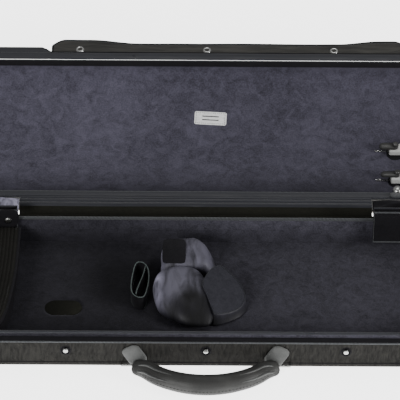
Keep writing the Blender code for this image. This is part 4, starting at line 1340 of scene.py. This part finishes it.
def make_neck_strap():
    """Soft strap looped on its edge, with pale bound edges and its end folded across."""
    low, high = corners("neck_strap")
    middle = (low + high) / 2
    half_x, half_y = (high.x - low.x) / 2 - 0.0012, (high.y - low.y) / 2 - 0.0012
    way = []
    for turn in circle(80):
        x = middle.x + half_x * bent(math.cos(turn), 0.8)
        y = middle.y + half_y * bent(math.sin(turn), 0.95)
        way.append(Vector((x + 0.0010 * math.sin(3 * turn), y, 0.0)))

    def height(share, spot):
        return low.z + (high.z - low.z) * share * (1 - 0.10 * math.sin((spot.y - low.y) * 60))

    rows = []
    for share, out in ((0.0, 0.0009), (0.5, 0.0011), (1.0, 0.0009), (1.0, -0.0007), (0.5, -0.0009),
                       (0.0, -0.0007)):
        row = []
        for spot in way:
            away = (spot - Vector((middle.x, middle.y, 0))).normalized() * out
            row.append(Vector((spot.x + away.x, spot.y + away.y, height(share, spot))))
        rows.append(row)
    band = lay_rows("neck_strap_band", rows, "black_plush")
    place(band, "neck_strap", "webbing", "neck_strap")
    inward = [Vector((middle.x + 0.0075, middle.y + half_y - 0.003, 0)),
              Vector((middle.x + 0.0035, middle.y + 0.010, 0)),
              Vector((middle.x - 0.0035, middle.y - 0.018, 0)),
              Vector((middle.x - 0.0050, middle.y - 0.029, 0))]
    fold = smooth_path(inward, 8)
    grid = [[Vector((spot.x, spot.y, low.z + (high.z - low.z) * share)) for spot in fold] for share in (0,
                                                                                                        0.5,
                                                                                                        0.98)]
    place(slab("neck_strap_fold", grid, 0.0014, "black_plush"), "neck_strap", "webbing")
    for name, line, share, closed in (("top", way, 1.0, True), ("foot", way, 0.06, True),
                                      ("fold", fold, 0.98, False)):
        edge = [Vector((spot.x, spot.y, height(share, spot) if closed else low.z + (high.z - low.z) * share))
                for spot in line]
        cord = tube(f"neck_strap_edge_{name}", edge, 0.0007, "strap_edge", 8, closed=closed)
        place(cord, "neck_strap", "trim")


def make_pockets():
    """Black rear pockets with grey piping on their edges, and the closing tab of the left one."""
    for side in ("left", "right"):
        low, high = corners(f"rear_pocket_{side}")
        dress("black_plush", f"rear_pocket_{side}")
        front = low.y - 0.0004
        frame_way = [Vector((low.x + 0.0006, front, low.z + 0.0014)),
                     Vector((high.x - 0.0006, front, low.z + 0.0014)),
                     Vector((high.x - 0.0006, front, high.z)), Vector((low.x + 0.0006, front, high.z))]
        piping = tube(f"rear_pocket_piping_{side}", frame_way, 0.0010, "trim", 8, closed=True,
                      up=Vector((0, 1, 0)))
        place(piping, "base", "trim")
        rail = [Vector((low.x, low.y, high.z)), Vector((high.x, low.y, high.z)),
                Vector((high.x, high.y, high.z)), Vector((low.x, high.y, high.z))]
        place(tube(f"rear_pocket_rail_{side}", rail, 0.0011, "satin", 8, closed=True), "base", "trim")
        way = [Vector((x, front + 0.0001, high.z - 0.004)) for x in (low.x + 0.004, high.x - 0.004)]
        place(row_of_lumps(f"rear_pocket_stitches_{side}", [way], sizes().stitch, (0.0008, 0.0006, 0.003),
                           "webbing"),
              "base", "trim")
    dress("webbing", "pocket_tab")
    dress("nickel", "pocket_tab_snap")
    low, high = corners("pocket_tab")
    middle = (low + high) / 2
    rim = []
    for turn in circle(48):
        x = middle.x + (high.x - low.x) / 2 * bent(math.cos(turn), 0.55)
        z = middle.z + (high.z - low.z) / 2 * bent(math.sin(turn), 0.55)
        rim.append(Vector((x, middle.y, z)))
    place(tube("pocket_tab_piping", rim, 0.0012, "webbing", 8, closed=True, up=Vector((0, 1, 0))),
          "pocket_tab", "webbing")


COMPARTMENT_EDGE = (
    (-0.2590, 0.108), (-0.2590, 0.080), (-0.2593, 0.050), (-0.2600, 0.020), (-0.2618, -0.010),
    (-0.2645, -0.040), (-0.2682, -0.068), (-0.2735, -0.090), (-0.2810, -0.106), (-0.2910, -0.116),
    (-0.3000, -0.1200),
)


def edge_at(y):
    """Where the compartment lid's free edge is at a place along it."""
    for (x_far, y_far), (x_near, y_near) in zip(COMPARTMENT_EDGE, COMPARTMENT_EDGE[1:]):
        if y >= y_near:
            share = (y_far - y) / (y_far - y_near)
            return x_far + (x_near - x_far) * share
    return COMPARTMENT_EDGE[-1][0]


def make_compartment():
    """Left compartment: ribbed lid whose ribs follow its curved, piped edge, and its divider."""
    low, high = corners("compartment_lid")
    spacing = sizes().rib
    radius = 0.013
    grid = []
    for y in spread(low.y + 0.0003, high.y - 0.0003, 70):
        over = max(abs(y - (low.y + high.y) / 2) - ((high.y - low.y) / 2 - radius), 0.0)
        cut = radius - math.sqrt(max(radius ** 2 - over ** 2, 0.0))
        right = edge_at(y)
        line = []
        for x in spread(low.x + cut, right, 170):
            rib = 0.0007 * math.cos(2 * math.pi * (right - x) / spacing) if x < right - 0.004 else 0.0
            line.append(Vector((x, y, (low.z + high.z) / 2 + rib + 0.0002)))
        grid.append(line)
    lid = slab("compartment_ribbed_lid", grid, 0.0020, "ribbed")
    place(lid, "compartment_lid", "velvet", "compartment_lid")
    edge = [line[-1] for line in grid]
    place(tube("compartment_lid_piping", edge, 0.0018, "black_plush", 10), "compartment_lid", "webbing")
    inner = [spot + Vector((-0.0048, 0, 0.0010)) for spot in edge]
    place(tube("compartment_lid_cord", inner, 0.0006, "trim", 8), "compartment_lid", "trim")
    dress("webbing", "compartment_divider")
    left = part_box("base_valance")[0][0] + 0.0022
    shares = (0, 0.25, 0.5, 0.75, 1)
    tape_grid = [[Vector((left + (low.x + 0.006 - left) * share,
                          low.y + 0.014 + (high.y - low.y - 0.028) * step / 20,
                          high.z + 0.0012 - 0.002 * math.sin(math.pi * share))) for share in shares]
                 for step in range(21)]
    place(slab("compartment_hinge_tape", tape_grid, 0.0008, "webbing"), "base", "webbing")


# --- lid fittings ------------------------------------------------------------------------

def fitting_frame(joint_name):
    """A matrix at a bow button's place on the lining, Z into the lid's hollow."""
    joint = next(item for item in frame["joints"] if item["name"] == joint_name)
    into = -Vector(joint["axis"]).normalized()
    side = Vector((1, 0, 0))
    ahead = into.cross(side).normalized()
    turn = Matrix((side, ahead, into)).transposed().to_4x4()
    return Matrix.Translation(Vector(joint["pos_m"])) @ turn


def make_bow_holders():
    """Moulded seats and swinging buttons for the bows, velvet sleeves for their tips."""
    for side in ("front", "rear"):
        at = fitting_frame(f"bow_spinner_turn_{side}")
        dress("plastic", f"bow_seat_{side}")
        bar = []
        for z, inset in ((0.0109, 0.0012), (0.0116, 0.0002), (0.0128, 0.0), (0.0146, 0.0005),
                         (0.0156, 0.0022)):
            row = []
            for y, x in stadium(0.0060 - inset, 0.0140 - inset, 10):
                row.append(Vector((x - 0.0100, -y, z - 0.0012 * (x / 0.014) ** 2)))
            bar.append(row)
        toggle = lay_rows(f"bow_button_{side}", bar, "button", loop=False, matrix=at)
        place(toggle, f"bow_spinner_{side}", "soft_plastic", f"bow_spinner_{side}")
        knob = [(0.0, 0.0150), (0.0046, 0.0150), (0.0046, 0.0172), (0.0036, 0.0186), (0.0, 0.0192)]
        cap = turned(f"bow_button_knob_{side}", knob, 24, "button", at)
        place(cap, f"bow_spinner_{side}", "soft_plastic", f"bow_spinner_cap_{side}")
        spring = [Vector((-0.030 + 0.024 * step / 60, 0.0015 * math.sin(step * 0.9),
                          0.0020 + 0.0016 * math.cos(step * 0.9)))
                  for step in range(61)]
        place(tube(f"bow_seat_spring_{side}", spring, 0.0005, "nickel", 6, matrix=at), "lid", "nickel")
        plate = [[Vector((x, y, z)) for x, y in stadium(0.0125 - pinch, 0.0165 - pinch, 8)]
                 for z, pinch in ((0.0003, 0.0), (0.0010, 0.0), (0.0014, 0.0006))]
        base = lay_rows(f"bow_seat_plate_{side}", plate, "webbing", loop=False, matrix=at)
        place(base, "lid", "soft_plastic")
        dress("lid_velour", f"bow_tip_sleeve_{side}")


def bent(value, power):
    """A power of a number's size that keeps its sign."""
    return math.copysign(abs(value) ** power, value)


def stadium(half_width, half_length, steps):
    """A bar outline with round ends, long in Y."""
    straight = half_length - half_width
    top = arc_points((0.0, straight), half_width, 0, 180, steps)
    return top + arc_points((0.0, -straight), half_width, 180, 180, steps)


def make_label():
    """Blank owner's label: pale woven cloth with a stitched frame and ruled lines."""
    dress("label", "owner_label")
    low, high = shut_box("owner_label")
    centre = (low + high) / 2
    slope = math.asin(centre.y / (ROOF_RADIUS - WALL_INSIDE))
    at = TO_OPEN @ Matrix.Translation(centre) @ Matrix.Rotation(-slope, 4,
                                                                "X") @ Matrix.Rotation(math.radians(3), 4,
                                                                                       "Z")
    face = -0.0005
    for name, y, reach in (("upper", 0.0030, 0.012), ("lower", -0.0030, 0.012)):
        line = [Vector((-reach, y, face)), Vector((0.0, y, face)), Vector((reach, y, face))]
        rule = tube(f"owner_label_rule_{name}", line, 0.0008, "ink", 6, flat=0.35, matrix=at)
        place(rule, "lid", "webbing")
    half_x, half_y = 0.0212, 0.0088
    spots = [Vector((x * half_x, y * half_y, face)) for x, y in ((-1, -1), (1, -1), (1, 1), (-1, 1))]
    border = [[spots[side], spots[(side + 1) % 4]] for side in range(4)]
    stitches = row_of_lumps("owner_label_stitches", border, 0.0028, (0.0007, 0.0005, 0.0018), "ink", at)
    place(stitches, "lid", "webbing")


# --- handle ------------------------------------------------------------------------------

def to_skin(side, facing, size, degrees):
    """From the handle's axis to its skin, at a turn round it."""
    turn = math.radians(degrees)
    return side * math.cos(turn) * size.x + facing * math.sin(turn) * size.y


def make_handle():
    """Padded bow handle whose ends flatten into folded leather, and the tabs it hangs from."""
    joint = next(item for item in frame["joints"] if item["name"] == "handle_pivot")
    middle_x = Vector(joint["pos_m"]).x
    half = [(0.0915, -0.1466, 0.0104, 0.0108, 0.0044), (0.0860, -0.1490, 0.0112, 0.0118, 0.0064),
            (0.0780, -0.1545, 0.0130, 0.0130, 0.0085), (0.0660, -0.1645, 0.0130, 0.0132, 0.0115),
            (0.0480, -0.1745, 0.0135, 0.0134, 0.0128), (0.0250, -0.1820, 0.0139, 0.0138, 0.0137)]
    stations = [(-x, y, z, w, d) for x, y, z, w, d in half] + [(0.0, -0.1846, 0.0140, 0.0140, 0.0138)]
    stations += [(x, y, z, w, d) for x, y, z, w, d in reversed(half)]
    path = smooth_path([Vector((middle_x + x, y, z)) for x, y, z, w, d in stations], 6)
    thick = smooth_path([Vector((w, d, 0.0)) for x, y, z, w, d in stations], 6)
    rows, across, outward = [], [], []
    for index, spot in enumerate(path):
        before, after = path[max(index - 1, 0)], path[min(index + 1, len(path) - 1)]
        along = (after - before).normalized()
        facing = Vector((0.0, -0.63, 0.78))
        facing = (facing - along * facing.dot(along)).normalized()
        side = along.cross(facing).normalized()
        across.append(side)
        outward.append(facing)
        width, depth = thick[index].x, thick[index].y
        rows.append([spot + side * width * math.cos(turn) + facing * depth * math.sin(turn)
                     for turn in circle(32)])
    last = len(path) - 1
    caps, tail = [], []
    for end, inner in ((0, 1), (last, last - 1)):
        outer = (path[end] - path[inner]).normalized()
        for share, reach in ((0.93, 0.0030), (0.76, 0.0056), (0.45, 0.0076)):
            row = [path[end] + (point - path[end]) * share + outer * reach
                   for point in rows[0 if end == 0 else -1]]
            if end == 0:
                caps.insert(0, row)
            else:
                tail.append(row)
    grip = lay_rows("handle_padded_grip", caps + rows + tail, "leather", loop=False)
    place(grip, "handle", "leatherette", "handle_grip", "handle_strap_left", "handle_strap_right")
    place_on = list(zip(path, across, outward, thick))
    for name, turn in (("upper", 35.0), ("lower", 150.0)):
        seam = []
        for spot, side, facing, size in place_on[10:-10]:
            seam.append(spot + to_skin(side, facing, size, turn) * 1.015)
        thread = row_of_lumps(f"handle_stitches_{name}", [seam], sizes().stitch, (0.0009, 0.0007, 0.0034),
                              "leather")
        place(thread, "handle", "trim")
    for side_name, picked in (("left", place_on[3:26]), ("right", place_on[-26:-3])):
        for fold, turn in (("inner", 62.0), ("outer", 108.0)):
            way = []
            for step, (spot, side, facing, size) in enumerate(picked):
                drift = turn + (16.0 if side_name == "left" else -16.0) * (step / len(picked) - 0.5)
                way.append(spot + to_skin(side, facing, size, drift))
            taper = [0.0004 + 0.0015 * math.sin(math.pi * step / (len(way) - 1)) for step in range(len(way))]
            # The folds take the paler leatherette as a painted highlight.
            welt = tube(f"handle_fold_{fold}_{side_name}", way, taper, "highlit_tab_leather", 10)
            place(welt, "handle", "leatherette")
    for side_name, sign in (("left", -1), ("right", 1)):
        make_handle_tab(side_name, sign)
        dress("nickel", f"handle_loop_{side_name}")


def make_handle_tab(side, sign):
    """Domed leather tab on the wall, slanting down and inwards over the wire loop, and its folded end."""
    face = corners(f"handle_patch_{side}")[1].y
    top, foot = Vector((0.1025, 0.0350)), Vector((0.0885, 0.0105))
    middle_x = (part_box("handle_patch_left")[0][0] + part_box("handle_patch_right")[1][0]) / 2
    line = foot - top
    along = line.normalized()
    side_way = Vector((-along.y, along.x))

    def spot(turn, share, depth):
        reach = line.length / 2 + 0.0035
        down = reach * bent(math.cos(turn), 0.45) * share
        wide = 0.0132 * bent(math.sin(turn), 0.75) * share
        at = (top + foot) / 2 + along * down + side_way * wide
        return Vector((middle_x + sign * at.x, face + depth, min(max(at.y, 0.0080), 0.0415)))

    rows = []
    levels = ((0.0, 0.98), (-0.0008, 1.0), (-0.0016, 0.97), (-0.0024, 0.88), (-0.0030, 0.70), (-0.0033, 0.40),
              (-0.0034, 0.08))
    for depth, share in levels:
        rows.append([spot(turn, share, depth) for turn in circle(64)])
    # The tab takes the paler leatherette as a painted highlight.
    tab = lay_rows(f"handle_tab_{side}", rows, "highlit_tab_leather", loop=False)
    place(tab, "base", "leatherette", f"handle_patch_{side}")
    rim = [spot(turn, 0.86, -0.0021) for turn in circle(60)]
    thread = row_of_lumps(f"handle_tab_stitches_{side}", [rim], 0.0036, (0.0007, 0.0006, 0.0022), "leather")
    place(thread, "base", "trim")
    curve = smooth_path([Vector((0.0870, 0.0, 0.0330)), Vector((0.0835, 0.0, 0.0280)),
                         Vector((0.0805, 0.0, 0.0235)),
                         Vector((0.0790, 0.0, 0.0185))], 6)
    grid = []
    for step, at in enumerate(curve):
        bulge = math.sin(math.pi * (step + 0.5) / len(curve))
        row = []
        for across in range(7):
            share = across / 6
            row.append(Vector((middle_x + sign * (at.x + 0.0050 * share * bulge),
                               face - 0.0004 - 0.0024 * math.sin(math.pi * min(share + 0.15, 1.0)) * bulge,
                               at.z)))
        grid.append(row)
    # The folded strap takes the paler leatherette as a painted highlight.
    place(slab(f"handle_fold_strap_{side}", grid, 0.0008, "highlit_tab_leather"), "base", "leatherette")


# --- operators ---------------------------------------------------------------------------

class VIOLINCASE_OT_stage(bpy.types.Operator):
    """Add the floor, the lights and the camera"""
    bl_idname = "violincase.stage"
    bl_label = "Stage"

    def execute(self, context):
        make_materials()
        make_stage()
        return {"FINISHED"}


class VIOLINCASE_OT_base(bpy.types.Operator):
    """Cover and line the base"""
    bl_idname = "violincase.base"
    bl_label = "Base"

    def execute(self, context):
        make_base_cloth()
        make_base_inside()
        return {"FINISHED"}


class VIOLINCASE_OT_rims(bpy.types.Operator):
    """Add tapes, coils, teeth and sliders"""
    bl_idname = "violincase.rims"
    bl_label = "Rims and zip"

    def execute(self, context):
        make_rims()
        make_sliders()
        return {"FINISHED"}


class VIOLINCASE_OT_lid(bpy.types.Operator):
    """Cover and line the vaulted lid"""
    bl_idname = "violincase.lid"
    bl_label = "Lid"

    def execute(self, context):
        make_lid_shells()
        return {"FINISHED"}


class VIOLINCASE_OT_flap(bpy.types.Operator):
    """Add the flap, the gusset and the snaps"""
    bl_idname = "violincase.flap"
    bl_label = "Storm flap"

    def execute(self, context):
        make_storm_flap()
        make_snaps()
        return {"FINISHED"}


class VIOLINCASE_OT_hinge(bpy.types.Operator):
    """Add the cloth between base and lid"""
    bl_idname = "violincase.hinge"
    bl_label = "Hinge cloth"

    def execute(self, context):
        make_hinge_cloth()
        return {"FINISHED"}


class VIOLINCASE_OT_cradle(bpy.types.Operator):
    """Add the cradle's pillows and patch"""
    bl_idname = "violincase.cradle"
    bl_label = "Neck cradle"

    def execute(self, context):
        make_cradle()
        return {"FINISHED"}


class VIOLINCASE_OT_strap(bpy.types.Operator):
    """Add the looped neck strap"""
    bl_idname = "violincase.strap"
    bl_label = "Neck strap"

    def execute(self, context):
        make_neck_strap()
        return {"FINISHED"}


class VIOLINCASE_OT_pockets(bpy.types.Operator):
    """Finish the rear pockets and the tab"""
    bl_idname = "violincase.pockets"
    bl_label = "Rear pockets"

    def execute(self, context):
        make_pockets()
        return {"FINISHED"}


class VIOLINCASE_OT_compartment(bpy.types.Operator):
    """Add the ribbed compartment lid"""
    bl_idname = "violincase.compartment"
    bl_label = "Compartment"

    def execute(self, context):
        make_compartment()
        return {"FINISHED"}


class VIOLINCASE_OT_fittings(bpy.types.Operator):
    """Add bow holders and the label"""
    bl_idname = "violincase.fittings"
    bl_label = "Lid fittings"

    def execute(self, context):
        make_bow_holders()
        make_label()
        return {"FINISHED"}


class VIOLINCASE_OT_handle(bpy.types.Operator):
    """Add the padded handle and its tabs"""
    bl_idname = "violincase.handle"
    bl_label = "Handle"

    def execute(self, context):
        make_handle()
        return {"FINISHED"}


OPERATORS = (
    VIOLINCASE_OT_stage, VIOLINCASE_OT_base, VIOLINCASE_OT_rims, VIOLINCASE_OT_lid,
    VIOLINCASE_OT_flap, VIOLINCASE_OT_hinge, VIOLINCASE_OT_cradle, VIOLINCASE_OT_strap,
    VIOLINCASE_OT_pockets, VIOLINCASE_OT_compartment, VIOLINCASE_OT_fittings, VIOLINCASE_OT_handle,
)


class VIOLINCASE_PT_panel(bpy.types.Panel):
    """Lists the settings and the steps that build the case."""
    bl_label = "Violin case"
    bl_idname = "VIOLINCASE_PT_panel"
    bl_space_type = "VIEW_3D"
    bl_region_type = "UI"
    bl_category = "Violin case"

    def draw(self, context):
        for group in (context.scene.violin_case_colours, context.scene.violin_case_sizes):
            for key in group.bl_rna.properties.keys():
                if key not in ("rna_type", "name"):
                    self.layout.prop(group, key)
        for item in OPERATORS:
            self.layout.operator(item.bl_idname)


CLASSES = (ViolinCaseColours, ViolinCaseSizes, *OPERATORS, VIOLINCASE_PT_panel)


def register():
    for item in CLASSES:
        bpy.utils.register_class(item)
    bpy.types.Scene.violin_case_colours = bpy.props.PointerProperty(type=ViolinCaseColours)
    bpy.types.Scene.violin_case_sizes = bpy.props.PointerProperty(type=ViolinCaseSizes)


def unregister():
    del bpy.types.Scene.violin_case_sizes
    del bpy.types.Scene.violin_case_colours
    for item in reversed(CLASSES):
        bpy.utils.unregister_class(item)


def main():
    register()
    for item in OPERATORS:
        getattr(bpy.ops.violincase, item.bl_idname.split(".")[1])()


if __name__ == "__main__":
    main()
